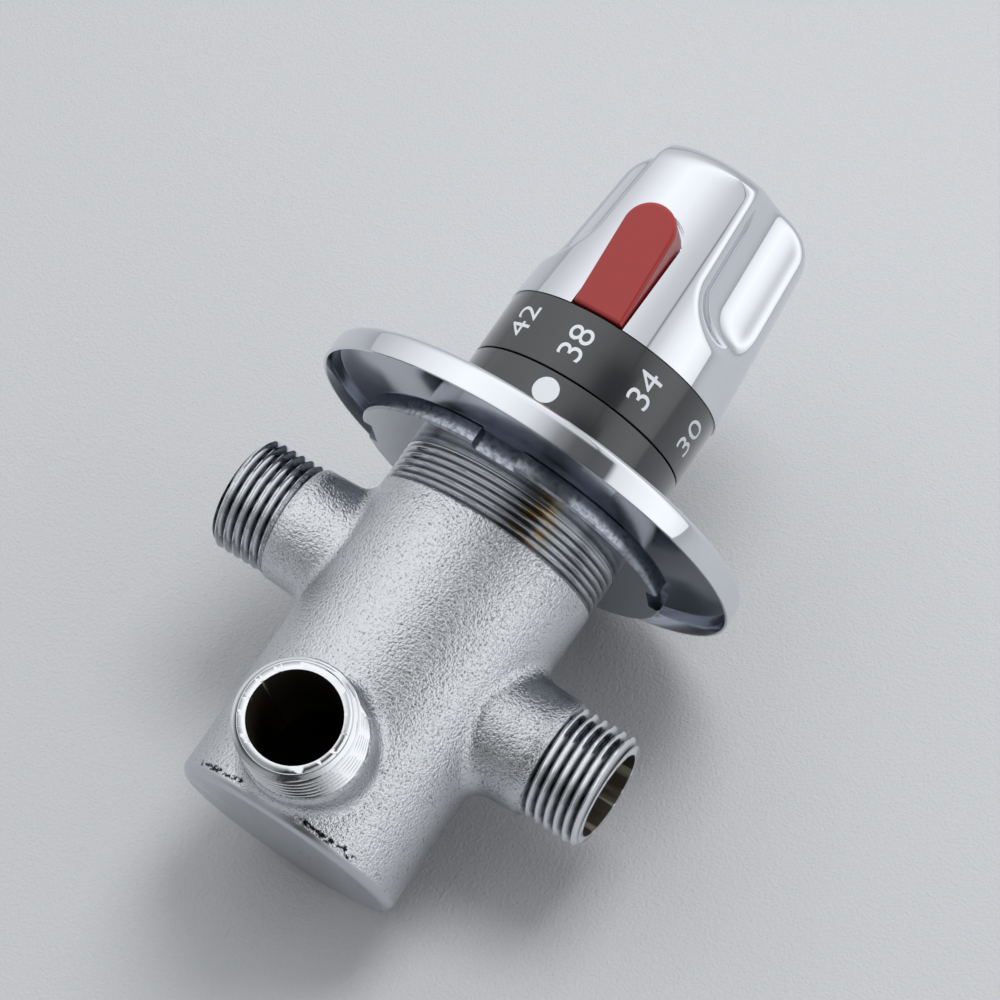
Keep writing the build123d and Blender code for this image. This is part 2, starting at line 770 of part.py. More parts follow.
# Safety button, made at the outlet side and turned to its place

def button_face(z):
    """Distance of the button's face from the spindle at a height."""
    return button_face_low + (z - button_low_z) * math.tan(math.radians(button_face_tilt))


def face_prism(drop, half_w):
    """Everything behind the button's sloping face, less a skin."""
    low = (0, button_low_z - over)
    outline = (low, (button_face(low[1]) - drop, low[1]),
               (button_face(slot_top_z) - drop, slot_top_z), (0, slot_top_z))
    return Pos(-half_w, 0, 0) * extrude(Plane.YZ * make_face(Polyline(*outline, close=True)), 2 * half_w)


def safety_button():
    half_w = slot_half_w - button_side_gap
    top_z = slot_top_z - button_side_gap * 2
    outer = button_face(slot_top_z)
    cap = button_slot(half_w, top_z, button_low_z, button_back, outer) & face_prism(0, half_w)
    rim = cap.faces().sort_by(Axis.Y)[-1].edges()
    cap = fillet(rim, button_edge)
    inner_w = half_w - button_wall
    pocket_low_z = pivot_z + lever_eye_r + button_wall
    pocket = button_slot(inner_w, top_z - button_wall, pocket_low_z, button_back, outer)
    cap -= pocket & face_prism(button_wall, inner_w)
    lever = Pos(0, pivot_out, pivot_z) * Rot(Y=90) * Cylinder(lever_eye_r - air, 2 * half_w)
    lever += block(-half_w, half_w, pivot_out, button_back + slip, pivot_z - lever_eye_r + air * 2,
                   pivot_z + lever_eye_r - air)
    tail_out = pivot_out - lever_eye_r + air * 2
    lever += block(-tail_w / 2, tail_w / 2, tail_out, tail_out + tail_t, tail_low_z, pivot_z)
    lever -= Pos(0, pivot_out, pivot_z) * Rot(Y=90) * Cylinder(pivot_r + running, 2 * slot_half_w)
    return Rot(Z=button_angle) * (cap + lever)


def button_pin():
    pin = Pos(0, pivot_out, pivot_z) * Rot(Y=90) * Cylinder(pivot_r, 2 * pivot_half_l)
    return Rot(Z=button_angle) * pin


def button_spring():
    """The coil between the knob's core and the inside of the button."""
    low = insert_hub_r + slip
    high = button_face(button_spring_z - button_coil_r) - button_wall - air
    spring = Rot(X=-90) * coil(button_coil_r, button_wire, low, high, 4)
    return Rot(Z=button_angle) * Pos(0, 0, button_spring_z) * spring


# Check valves and strainers

check_end = port_bore_floor + check_l
check_r = port_bore_r - slip
spring_floor = port_bore_floor + check_lip_t
poppet_front = check_end - check_lip_t - poppet_seat_gap


def check_cage():
    inner_r = check_r - check_wall
    cage = turned((inner_r, port_bore_floor), (check_r, port_bore_floor), (check_r, check_end),
                  (check_hole_r, check_end), (check_hole_r, check_end - check_lip_t),
                  (inner_r, check_end - check_lip_t))
    cage += column(check_hub_r, port_bore_floor, spring_floor)
    spoke = block(-spoke_w / 4, spoke_w / 4, check_stem_r, inner_r + slip, port_bore_floor, spring_floor)
    for index in range(3):
        cage += Rot(Z=120 * index) * spoke
    return cage - column(check_stem_r + running, port_bore_floor, spring_floor)


def check_poppet():
    rear = poppet_front - poppet_t
    return turned((0, port_bore_floor + slip), (check_stem_r, port_bore_floor + slip), (check_stem_r, rear),
                  (poppet_r, rear), (poppet_r, poppet_front), (0, poppet_front))


def check_spring():
    return coil(check_coil_r, check_wire, spring_floor + slip, poppet_front - poppet_t - slip, 3)


def strainer():
    """A ring with crossing bars."""
    low = check_end + slip
    high = low + strainer_l
    bar_high = low + strainer_bar
    inner_r = check_r - strainer_wall
    body = ring(check_r, inner_r, low, high)
    for index in (-2, -1, 0, 1, 2):
        across = strainer_pitch * index
        half_l = math.sqrt(inner_r ** 2 - across ** 2) + strainer_bar
        bar = block(across - strainer_bar / 2, across + strainer_bar / 2, -half_l, half_l, low, bar_high)
        body += bar
        body += Rot(Z=90) * bar
    return body


# Writing

def to_row(shape):
    """Turn a piece from the working frame to the part's own frame."""
    return Rot(X=90) * shape


pieces = {
    "valve_body": valve_body(),
    "ring_nut": ring_nut(),
    "trim_plate": trim_plate(),
    "trim_seal": trim_seal(),
    "cartridge_sleeve": cartridge_sleeve(),
    "sleeve_seals": Compound(sleeve_seals()),
    "spring_seat": spring_seat(),
    "hot_seat": hot_seat(),
    "cold_seat": cold_seat(),
    "shuttle": shuttle(),
    "shuttle_seal": shuttle_seal(),
    "wax_element": wax_element(),
    "piston": piston(),
    "piston_cap": piston_cap(),
    "overtravel_spring": overtravel_spring(),
    "spindle_nut": spindle_nut(),
    "nut_clip": nut_clip(),
    "return_spring": return_spring(),
    "cartridge_bonnet": cartridge_bonnet(),
    "bonnet_seal": bonnet_seal(),
    "spindle": spindle(),
    "spindle_seals": Compound(spindle_seals()),
    "spindle_clip": spindle_clip(),
    "index_ring": index_ring(),
    "stop_ring": stop_ring(),
    "scale_ring": scale_ring(),
    "knob_shell": knob_shell(),
    "knob_insert": knob_insert(),
    "knob_screw": knob_screw(),
    "safety_button": safety_button(),
    "button_pin": button_pin(),
    "button_spring": button_spring(),
}
for side, place in (("hot", hot_port), ("cold", cold_port)):
    pieces[side + "_check_cage"] = place * check_cage()
    pieces[side + "_check_poppet"] = place * check_poppet()
    pieces[side + "_check_spring"] = place * check_spring()
    pieces[side + "_strainer"] = place * strainer()

os.makedirs("parts", exist_ok=True)
for name, piece in pieces.items():
    export_step(to_row(piece), "parts/" + name + ".step")
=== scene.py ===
import json
import math

import bmesh
import bpy
import numpy as np
from mathutils import Matrix, Vector


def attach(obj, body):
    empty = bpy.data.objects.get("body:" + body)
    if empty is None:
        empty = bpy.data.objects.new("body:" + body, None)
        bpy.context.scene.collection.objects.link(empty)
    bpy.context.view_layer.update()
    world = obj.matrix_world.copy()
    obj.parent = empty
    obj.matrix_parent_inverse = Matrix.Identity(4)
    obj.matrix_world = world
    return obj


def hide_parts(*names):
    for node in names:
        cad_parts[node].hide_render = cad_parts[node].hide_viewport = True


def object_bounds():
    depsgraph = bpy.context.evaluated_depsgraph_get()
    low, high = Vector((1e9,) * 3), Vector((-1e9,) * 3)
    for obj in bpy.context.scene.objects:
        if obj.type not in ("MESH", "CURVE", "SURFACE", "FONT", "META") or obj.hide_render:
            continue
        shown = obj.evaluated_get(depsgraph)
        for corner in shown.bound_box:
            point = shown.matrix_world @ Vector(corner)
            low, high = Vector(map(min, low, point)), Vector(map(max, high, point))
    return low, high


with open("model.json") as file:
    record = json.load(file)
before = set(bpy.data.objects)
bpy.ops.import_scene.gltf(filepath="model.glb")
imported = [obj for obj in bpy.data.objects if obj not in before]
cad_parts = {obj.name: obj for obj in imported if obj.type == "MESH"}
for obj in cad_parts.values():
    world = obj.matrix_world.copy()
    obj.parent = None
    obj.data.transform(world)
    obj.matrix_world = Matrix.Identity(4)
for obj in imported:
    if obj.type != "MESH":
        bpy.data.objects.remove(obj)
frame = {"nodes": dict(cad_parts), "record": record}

bl_info = {
    "name": "Shower mixer looks",
    "version": (1, 0, 0),
    "blender": (4, 5, 0),
    "location": "3D Viewport > Sidebar > Mixer",
    "description": "Dresses the packed shower mixer with threads, dial print, finishes and a studio stage",
    "category": "Object",
}

CAD_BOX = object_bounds()
MM = 0.001

# The bench frame of the sizes below, in millimetres: Z runs along the spindle towards the knob with 0 at
# the wall, Y along the outlet, X along the cold inlet. Angles about the spindle are counted from the
# outlet side towards the hot inlet. to_row() brings bench points to the part's own frame in metres.

MOUNTS = {mount["name"]: mount for mount in frame["record"]["mounts"]}


def bench_z(row_y):
    """Bench height in mm of a place along the row's Y in metres."""
    return round(-row_y / MM, 2)


# Body and ports, and the order of the casting's finishes
BLASTED, BORED, GROUND, MACHINED = range(4)
FACE_SLACK = 0.05
BORE_SLACK = 0.06
TOP_SLACK = 0.1
BODY_R = 21.07
BASE_Z = bench_z(CAD_BOX[1][1])
OUTLET_Z = bench_z(MOUNTS["outlet_thread"]["pos_m"][1])
HOT_Z = bench_z(MOUNTS["hot_thread"]["pos_m"][1])
COLD_Z = bench_z(MOUNTS["cold_thread"]["pos_m"][1])
INLET_REACH = round(CAD_BOX[1][0] / MM, 2)
OUTLET_REACH = 37.5
CHAMBER_R = 17.7            # just outside the bores of the chamber
CHAMBER_RISE = 4.9          # the chamber's floor above the base
BASE_BAND = 1.6             # height of the ground band round the base
THREAD_R = MOUNTS["outlet_thread"]["dims"]["r_mm"]
THREAD_ROOT_R = 9.33
THREAD_L = 11.25
PITCH = 1.814
LIP_R = 9.3
LIP_SLOPE = 1.3             # how steeply a port's thread runs out at its lip
BORE_R = 7.9
BORE_START = 8.0            # distance from the spindle at which a port's bore begins
BODY_THREAD_ROOT_R = 20.45
BODY_THREAD_LOW_Z = -11.5
BODY_THREAD_TOP_Z = -4.35
BODY_PITCH = 1.35
THREAD_VEE = 0.55           # share of a plain vee in a thread's form; the rest is a soft wave
THREAD_ROW = 0.1            # height between two rows of points of a thread
SLEEVE_GAP = 0.02           # between the end of a thread's sleeve and the casting
PORT_SEAT_DROP = 0.15       # the casting is cut away this far under the root of a port's thread
PORT_CORE_DROP = 0.12       # and the thread's sleeve reaches this far under it
BODY_SEAT_DROP = 0.1
BODY_CORE_DROP = 0.08
CASTING_SLICE = 3.0         # height of the bands that keep the casting's shading true
SLICE_START = 0.4           # below the top of the bands

# Trim plate and black rings
TRIM_R = INLET_REACH
TRIM_H = 6.0
TRIM_RIM_H = 3.5
TRIM_FLAT_R = 32.2
TRIM_CROWN_R = 30.0
TRIM_WALL = 1.2
TRIM_RIM_WALL = 0.6
TRIM_HOLE_R = 21.4
TRIM_COLLAR_Z = 0.3
TRIM_FACE_R = 27.0          # a point on the flat face
TRIM_TAPER = 1.0            # height over which the wall thins towards the rim
HOLE_EDGE = 0.3
RIM_EDGE = 0.25
RIM_BREAK = 0.1
RING_R = 20.77
INDEX_LOW_Z = 4.5
INDEX_TOP_Z = 15.95
SCALE_LOW_Z = 16.25
SCALE_TOP_Z = 28.1
RING_EDGE = 0.18
INDEX_WALL = 2.2
INDEX_WEB = 2.5
INDEX_HOLE_R = 12.05
SCALE_HOLE_R = 18.4

# Knob, with the radius and height of each corner of its hollow from the mouth up
KNOB_LOW_R = 21.0
KNOB_HIGH_R = 18.05
KNOB_SHOULDER_Z = 64.9
KNOB_TOP_Z = bench_z(CAD_BOX[0][1])
KNOB_EDGE = 5.0
HOLLOW = ((18.4, 31.0), (17.6, 31.0), (15.6, 36.0), (12.6, 40.0), (12.6, 60.0), (9.0, 63.6))
FLUTE_ANGLES = (55.25, 175.25, 295.25)
FLUTE_R = 13.0
FLUTE_DEPTH = 4.75
FLUTE_RAMP_Z = 45.4
FLUTE_RAMP_H = 10.3
FLUTE_EDGE = 1.5
BUTTON_ANGLE = -4.75
SLOT_HALF_W = 5.22          # a little more than the solid's, to clear the pressed button
SLOT_TOP_Z = 50.5
SLOT_INNER_R = 12.6
MOUTH_DROP = 1.0            # cutters start this far below the knob's mouth
RAY_TURN = 14.0             # below the shoulder, where the rays that find the knob begin to tilt
RAY_REACH = 26.0
RAY_HALVINGS = 34
AXIS_R = 0.01               # where an outline meets the spindle

# Dial print
DOT_ANGLE = -4.2
DOT_Z = 12.45
DOT_R = 2.35
DIAL_NUMBERS = (("42", -38.3), ("38", -5.0), ("34", 34.0), ("30", 73.5))
DIAL_Z = 22.2
DIAL_LENGTH = 6.2
DIAL_HEIGHT = 4.5
PRINT_T = 0.04
PRINT_SLICE = 0.3           # width of the strips in which a print bends

# Torn casting seam: pairs are where it fades out and where it is whole
SEAM_Z = -69.9
SEAM_WAVE = 2.4
SEAM_MIDDLE = 10.4
SEAM_HALF_L = (5.4, 4.4)
SEAM_HALF_H = (0.55, 0.25)
SEAM_FRONT = (8.0, 10.0)

# Brass rubbed bare on the nut's thread, this far from the outlet's middle towards the hot inlet
RUB_MIDDLE = 9.0
RUB_HALF_L = (4.2, 1.5)

# Stage, in the part's own frame: board and camera
FLOOR_NORMAL = (0.0767, -0.279, 0.957)
FLOOR_LEVEL = -39.75
CAMERA_PLACE = (-150.56, 135.93, 559.48)
CAMERA_RIGHT = (-0.8271, -0.554, -0.095)
CAMERA_UP = (0.4994, -0.8019, 0.3278)
CAMERA_FORWARD = (0.2578, -0.2237, -0.94)
LAMP_WAY = (-0.02, -0.59, 0.84)
LAMP_OFF = 600.0

# Brightness of the light tent by degrees about the spindle, counted as the bench angles are: seen level
# with the part, where the gap between its two soft boxes is wide and dim, and seen from the knob's side,
# where they all but meet
TENT_LEVEL = ((-180, 0.40), (-110, 0.45), (-95, 0.52), (-79, 0.66), (-63, 0.82), (-39, 1.00), (-15, 0.90),
              (-3, 0.76), (6, 0.50), (13, 0.24), (21, 0.11), (32, 0.09), (41, 0.12), (44, 0.76), (57, 0.90),
              (73, 1.00), (81, 0.97), (89, 0.85), (97, 0.70), (120, 0.42), (180, 0.40))
TENT_FRONT = ((-180, 0.40), (-95, 0.55), (-79, 0.66), (-63, 0.82), (-39, 1.00), (-15, 0.92), (1, 0.78),
              (9, 0.69), (17, 0.61), (25, 0.57), (32.2, 0.54), (32.4, 0.08), (33.6, 0.08), (33.8, 0.58),
              (41, 0.66), (49, 0.82), (57, 0.92), (73, 1.02), (89, 0.88), (97, 0.75), (120, 0.45),
              (180, 0.40))
TENT_LEVEL_Y = -0.26        # directions above this see the level ramp alone
TENT_FRONT_Y = -0.35        # and below this the front ramp alone


# Colour and node helpers

def linear(hex_colour):
    """Linear RGBA of an sRGB hex colour such as #A8433F."""
    parts = [int(hex_colour[i:i + 2], 16) / 255 for i in (1, 3, 5)]
    rgb = [c / 12.92 if c <= 0.04045 else ((c + 0.055) / 1.055) ** 2.4 for c in parts]
    return (*rgb, 1.0)


def add(tree, kind, settings=None, **links):
    """Adds a node of a kind, sets its properties, and fills or links its inputs by name."""
    node = tree.nodes.new(kind)
    for name, value in (settings or {}).items():
        setattr(node, name, value)
    for name, value in links.items():
        key = int(name[1:]) if name[0] == "i" and name[1:].isdigit() else name.replace("_", " ")
        socket = node.inputs[key]
        if isinstance(value, bpy.types.NodeSocket):
            tree.links.new(value, socket)
        else:
            socket.default_value = value
    return node


def new_material(name):
    """An empty node material with its output."""
    material = bpy.data.materials.new(name)
    material.use_nodes = True
    tree = material.node_tree
    tree.nodes.clear()
    output = tree.nodes.new("ShaderNodeOutputMaterial")
    return material, tree, output


def position(tree):
    """Object coordinates, which are metres in the part's own frame."""
    return tree.nodes.new("ShaderNodeTexCoord").outputs["Object"]


def per_mm(size):
    """Texture scale for a pattern whose features are this many millimetres wide."""
    return 1.0 / (size * MM)


# Mesh helpers

def to_row(points):
    """Bench millimetres to row metres."""
    p = np.asarray(points, dtype=float).reshape(-1, 3)
    return np.stack([p[:, 0], -p[:, 2], p[:, 1]], axis=1) * MM


def turned_to(points, turn):
    """Points turned by a 3 by 3 matrix."""
    return np.asarray(points, dtype=float).reshape(-1, 3) @ np.asarray(turn).T


def make_object(name, verts, faces, body, materials, sharp=30.0):
    """A smooth-shaded mesh object that rides on a body."""
    mesh = bpy.data.meshes.new(name)
    mesh.from_pydata([tuple(v) for v in verts], [], [tuple(f) for f in faces])
    return finish_mesh(name, mesh, body, materials, sharp)


def finish_mesh(name, mesh, body, materials, sharp=30.0):
    """Shades a mesh, gives it its materials, links it and rides it on a body."""
    mesh.validate()
    mesh.update()
    mesh.polygons.foreach_set("use_smooth", [True] * len(mesh.polygons))
    mesh.set_sharp_from_angle(angle=math.radians(sharp))
    obj = bpy.data.objects.new(name, mesh)
    bpy.context.scene.collection.objects.link(obj)
    mesh.materials.clear()
    for material in materials:
        mesh.materials.append(material)
    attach(obj, body)
    return obj


def grid_faces(rows, columns, wrap_rows):
    """Quads of a grid that closes around its columns, and around its rows if asked."""
    faces = []
    last = rows if wrap_rows else rows - 1
    for j in range(last):
        for i in range(columns):
            a = j * columns + i
            b = j * columns + (i + 1) % columns
            c = ((j + 1) % rows) * columns + (i + 1) % columns
            d = ((j + 1) % rows) * columns + i
            faces.append((a, b, c, d))
    return faces


def lathe(profile, columns=192):
    """Bench points and faces of a closed outline of (radius, z) turned about the spindle."""
    angle = np.linspace(0, 2 * math.pi, columns, endpoint=False)
    rows = [np.stack([r * np.cos(angle), r * np.sin(angle), np.full(columns, z)], axis=1)
            for r, z in profile]
    return np.concatenate(rows), grid_faces(len(profile), columns, True)


def arc(centre, radius, start, end, steps):
    """Points of an arc in an outline, degrees."""
    angles = [math.radians(start + (end - start) * k / steps) for k in range(steps + 1)]
    return [(centre[0] + radius * math.cos(a), centre[1] + radius * math.sin(a)) for a in angles]


def rounded(corners, radius, steps=4):
    """A closed outline with every convex or concave corner rounded by one small radius."""
    outline = []
    count = len(corners)
    for k in range(count):
        before, here, after = (Vector(corners[(k + d) % count]) for d in (-1, 0, 1))
        first, second = (before - here).normalized(), (after - here).normalized()
        reach = min(radius, (before - here).length / 2.5, (after - here).length / 2.5)
        for step in range(steps + 1):
            t = step / steps
            a, b = here + first * reach, here + second * reach
            point = a.lerp(here, t).lerp(here.lerp(b, t), t)
            outline.append((point.x, point.y))
    return outline


def cut(obj_mesh, cutters, name):
    """The mesh left when closed cutter meshes are taken out of a closed mesh."""
    obj = bpy.data.objects.new(name + "_blank", obj_mesh)
    bpy.context.scene.collection.objects.link(obj)
    helpers = []
    for verts, faces in cutters:
        mesh = bpy.data.meshes.new(name + "_cutter")
        mesh.from_pydata([tuple(v) for v in verts], [], [tuple(f) for f in faces])
        bm = bmesh.new()
        bm.from_mesh(mesh)
        bmesh.ops.recalc_face_normals(bm, faces=bm.faces)
        bm.to_mesh(mesh)
        bm.free()
        helper = bpy.data.objects.new(name + "_cutter", mesh)
        bpy.context.scene.collection.objects.link(helper)
        modifier = obj.modifiers.new("cut", "BOOLEAN")
        modifier.operation = "DIFFERENCE"
        modifier.solver = "EXACT"
        modifier.object = helper
        helpers.append(helper)
    bpy.context.view_layer.update()
    result = bpy.data.meshes.new_from_object(obj.evaluated_get(bpy.context.evaluated_depsgraph_get()))
    for helper in helpers + [obj]:
        bpy.data.objects.remove(helper)
    return result


def port_turn(side):
    """The turn that brings a port's own axis from bench Z to its side."""
    turns = {"outlet": Matrix.Rotation(math.radians(-90), 3, "X"),
             "hot": Matrix.Rotation(math.radians(-90), 3, "Y"),
             "cold": Matrix.Rotation(math.radians(90), 3, "Y")}
    return turns[side]


PORTS = (("outlet", OUTLET_Z, OUTLET_REACH), ("hot", HOT_Z, INLET_REACH), ("cold", COLD_Z, INLET_REACH))


def port_points(points, side, z):
    """Points given along a port's own axis, placed in the bench frame."""
    return turned_to(points, port_turn(side)) + np.array([0, 0, z])


# Materials

def metal(name, colour, roughness, bump=None, metallic=1.0):
    """A metal whose roughness varies a little; bump is (feature in mm, height in mm, detail).

    Tool marks are finer than the features used here, which are drawn coarse enough to show.
    """
    material, tree, output = new_material(name)
    where = position(tree)
    shader = add(tree, "ShaderNodeBsdfPrincipled", Base_Color=linear(colour), Metallic=metallic)
    cloud = add(tree, "ShaderNodeTexNoise", Vector=where, Scale=per_mm(9), Detail=4.0)
    spread = add(tree, "ShaderNodeMapRange", Value=cloud.outputs["Fac"], i1=0.3, i2=0.7,
                 i3=roughness * 0.8, i4=roughness * 1.25)
    tree.links.new(spread.outputs[0], shader.inputs["Roughness"])
    if bump:
        grain = add(tree, "ShaderNodeTexNoise", Vector=where, Scale=per_mm(bump[0]), Detail=bump[2])
        relief = add(tree, "ShaderNodeBump", Height=grain.outputs["Fac"], Distance=bump[1] * MM, Strength=1.0)
        tree.links.new(relief.outputs[0], shader.inputs["Normal"])
    tree.links.new(shader.outputs[0], output.inputs[0])
    return material


def plastic(name, colour, roughness, coat=0.0, grain=(0.5, 0.004)):
    """A moulded plastic with a faint uneven skin, drawn coarser than life so that it shows."""
    material, tree, output = new_material(name)
    where = position(tree)
    shader = add(tree, "ShaderNodeBsdfPrincipled", Base_Color=linear(colour), Roughness=roughness,
                 IOR=1.5, Coat_Weight=coat, Coat_Roughness=0.1)
    skin = add(tree, "ShaderNodeTexNoise", Vector=where, Scale=per_mm(grain[0]), Detail=3.0)
    relief = add(tree, "ShaderNodeBump", Height=skin.outputs["Fac"], Distance=grain[1] * MM, Strength=1.0)
    tree.links.new(relief.outputs[0], shader.inputs["Normal"])
    tree.links.new(shader.outputs[0], output.inputs[0])
    return material


def sandblasted_chrome(name, colour, painted_dent_shade_colour, mark_colour):
    """Chrome plate over a sand-blasted brass casting: bright grains, pits darkened with painted shade and a
    torn casting seam.
    """
    material, tree, output = new_material(name)
    where = position(tree)
    # Grit leaves dents of about 0.2 mm; the coarser noise is drawn larger than life so that it shows
    coarse = add(tree, "ShaderNodeTexNoise", Vector=where, Scale=per_mm(0.5), Detail=1.0, Roughness=0.5)
    fine = add(tree, "ShaderNodeTexNoise", Vector=where, Scale=per_mm(0.24), Detail=1.0, Roughness=0.5)
    both = add(tree, "ShaderNodeMath", {"operation": "MULTIPLY_ADD"}, i0=fine.outputs["Fac"], i1=0.5,
               i2=coarse.outputs["Fac"])
    relief = add(tree, "ShaderNodeBump", Height=both.outputs[0], Distance=0.19 * MM, Strength=1.0)
    # painted shade: the low points of the grit relief take the darker pit colour
    painted_dent_shade = add(tree, "ShaderNodeMapRange", Value=both.outputs[0], i1=0.36, i2=0.63)
    grain = add(tree, "ShaderNodeMix", {"data_type": "RGBA"}, i0=painted_dent_shade.outputs[0], i6=linear(painted_dent_shade_colour),
                i7=linear(colour))
    seam = seam_mask(tree, where)
    mix = add(tree, "ShaderNodeMix", {"data_type": "RGBA"}, i0=seam, i6=grain.outputs[2],
              i7=linear(mark_colour))
    shader = add(tree, "ShaderNodeBsdfPrincipled", Base_Color=mix.outputs[2], Metallic=1.0, Roughness=0.17,
                 Normal=relief.outputs[0])
    tree.links.new(shader.outputs[0], output.inputs[0])
    return material


def seam_mask(tree, where):
    """One where the casting is torn, in two short lines just above the base on the outlet's side."""
    place = add(tree, "ShaderNodeSeparateXYZ", Vector=where)
    wobble = add(tree, "ShaderNodeTexNoise", Vector=where, Scale=per_mm(2.0), Detail=4.0)
    shift = add(tree, "ShaderNodeMath", {"operation": "MULTIPLY_ADD"}, i0=wobble.outputs["Fac"],
                i1=SEAM_WAVE * MM, i2=(SEAM_Z - SEAM_WAVE / 2) * MM)
    level = add(tree, "ShaderNodeMath", {"operation": "ADD"}, i0=place.outputs["Y"], i1=shift.outputs[0])
    height = add(tree, "ShaderNodeMath", {"operation": "ABSOLUTE"}, i0=level.outputs[0])
    line = add(tree, "ShaderNodeMapRange", Value=height.outputs[0], i1=SEAM_HALF_H[0] * MM,
               i2=SEAM_HALF_H[1] * MM)
    side = add(tree, "ShaderNodeMath", {"operation": "ABSOLUTE"}, i0=place.outputs["X"])
    middle = add(tree, "ShaderNodeMath", {"operation": "SUBTRACT"}, i0=side.outputs[0],
                 i1=SEAM_MIDDLE * MM)
    along = add(tree, "ShaderNodeMath", {"operation": "ABSOLUTE"}, i0=middle.outputs[0])
    reach = add(tree, "ShaderNodeMapRange", Value=along.outputs[0], i1=SEAM_HALF_L[0] * MM,
                i2=SEAM_HALF_L[1] * MM)
    front = add(tree, "ShaderNodeMapRange", Value=place.outputs["Z"], i1=SEAM_FRONT[0] * MM,
                i2=SEAM_FRONT[1] * MM)
    torn = add(tree, "ShaderNodeTexNoise", Vector=where, Scale=per_mm(0.8), Detail=3.0)
    patch = add(tree, "ShaderNodeMapRange", Value=torn.outputs["Fac"], i1=0.42, i2=0.5)
    mask = line.outputs[0]
    for part in (reach, front, patch):
        mask = add(tree, "ShaderNodeMath", {"operation": "MULTIPLY"}, i0=mask, i1=part.outputs[0]).outputs[0]
    return mask


def thread_metal(name, colour, grime_and_shade, rub=None):
    """Machined chrome whose grooves are darkened with grime and painted shade; rub is a colour showing
    through near the hot side.
    """
    material, tree, output = new_material(name)
    where = position(tree)
    groove = add(tree, "ShaderNodeAttribute", {"attribute_name": "groove"})
    # grime and painted shade: the deeper a point lies in its thread's groove, the more it takes the grime
    # colour
    groove_grime_and_shade = add(tree, "ShaderNodeMapRange", Value=groove.outputs["Fac"], i1=0.45, i2=0.95)
    base = linear(colour)
    if rub:
        place = add(tree, "ShaderNodeSeparateXYZ", Vector=where)
        off = add(tree, "ShaderNodeMath", {"operation": "ADD"}, i0=place.outputs["X"],
                  i1=RUB_MIDDLE * MM)
        far = add(tree, "ShaderNodeMath", {"operation": "ABSOLUTE"}, i0=off.outputs[0])
        near = add(tree, "ShaderNodeMapRange", Value=far.outputs[0], i1=RUB_HALF_L[0] * MM,
                   i2=RUB_HALF_L[1] * MM)
        squeeze = add(tree, "ShaderNodeMapping", Vector=where, Scale=(1.0, 7.0, 1.0))
        streak = add(tree, "ShaderNodeTexNoise", Vector=squeeze.outputs[0], Scale=per_mm(3.0), Detail=3.0)
        worn = add(tree, "ShaderNodeMapRange", Value=streak.outputs["Fac"], i1=0.5, i2=0.58)
        share = add(tree, "ShaderNodeMath", {"operation": "MULTIPLY"}, i0=near.outputs[0], i1=worn.outputs[0])
        rubbed = add(tree, "ShaderNodeMix", {"data_type": "RGBA"}, i0=share.outputs[0], i6=base,
                     i7=linear(rub))
        base = rubbed.outputs[2]
    mix = add(tree, "ShaderNodeMix", {"data_type": "RGBA"}, i0=groove_grime_and_shade.outputs[0], i6=base, i7=linear(grime_and_shade))
    shader = add(tree, "ShaderNodeBsdfPrincipled", Base_Color=mix.outputs[2], Metallic=1.0, Roughness=0.1)
    nick = add(tree, "ShaderNodeTexNoise", Vector=where, Scale=per_mm(0.5), Detail=4.0)
    relief = add(tree, "ShaderNodeBump", Height=nick.outputs["Fac"], Distance=0.02 * MM, Strength=1.0)
    tree.links.new(relief.outputs[0], shader.inputs["Normal"])
    tree.links.new(shader.outputs[0], output.inputs[0])
    return material


def nut_metal(name, colour, worn, dark_patch_and_reflection):
    """Chrome that is smooth on the flat faces and grainy round the edge, which is darkened in patches with
    painted reflection.
    """
    material, tree, output = new_material(name)
    coordinates = tree.nodes.new("ShaderNodeTexCoord")
    facing = add(tree, "ShaderNodeSeparateXYZ", Vector=coordinates.outputs["Normal"])
    flat = add(tree, "ShaderNodeMath", {"operation": "ABSOLUTE"}, i0=facing.outputs["Y"])
    # painted reflection: faces that do not look along the spindle, the nut's edge, take darker patchy colours
    # for the dark underside of the trim plate seen in them
    edge = add(tree, "ShaderNodeMapRange", Value=flat.outputs[0], i1=0.95, i2=0.7)
    grain = add(tree, "ShaderNodeTexNoise", Vector=coordinates.outputs["Object"], Scale=per_mm(0.9),
                Detail=4.0)
    patch = add(tree, "ShaderNodeMapRange", Value=grain.outputs["Fac"], i1=0.15, i2=0.55)
    edge_grain_and_reflection = add(tree, "ShaderNodeMix", {"data_type": "RGBA"}, i0=patch.outputs[0], i6=linear(dark_patch_and_reflection),
                       i7=linear(worn))
    mix = add(tree, "ShaderNodeMix", {"data_type": "RGBA"}, i0=edge.outputs[0], i6=linear(colour),
              i7=edge_grain_and_reflection.outputs[2])
    depth = add(tree, "ShaderNodeMapRange", Value=edge.outputs[0], i3=0.006 * MM, i4=0.006 * MM)
    relief = add(tree, "ShaderNodeBump", Height=grain.outputs["Fac"], Distance=depth.outputs[0], Strength=1.0)
    shader = add(tree, "ShaderNodeBsdfPrincipled", Base_Color=mix.outputs[2], Metallic=1.0, Roughness=0.14,
                 Normal=relief.outputs[0])
    tree.links.new(shader.outputs[0], output.inputs[0])
    return material


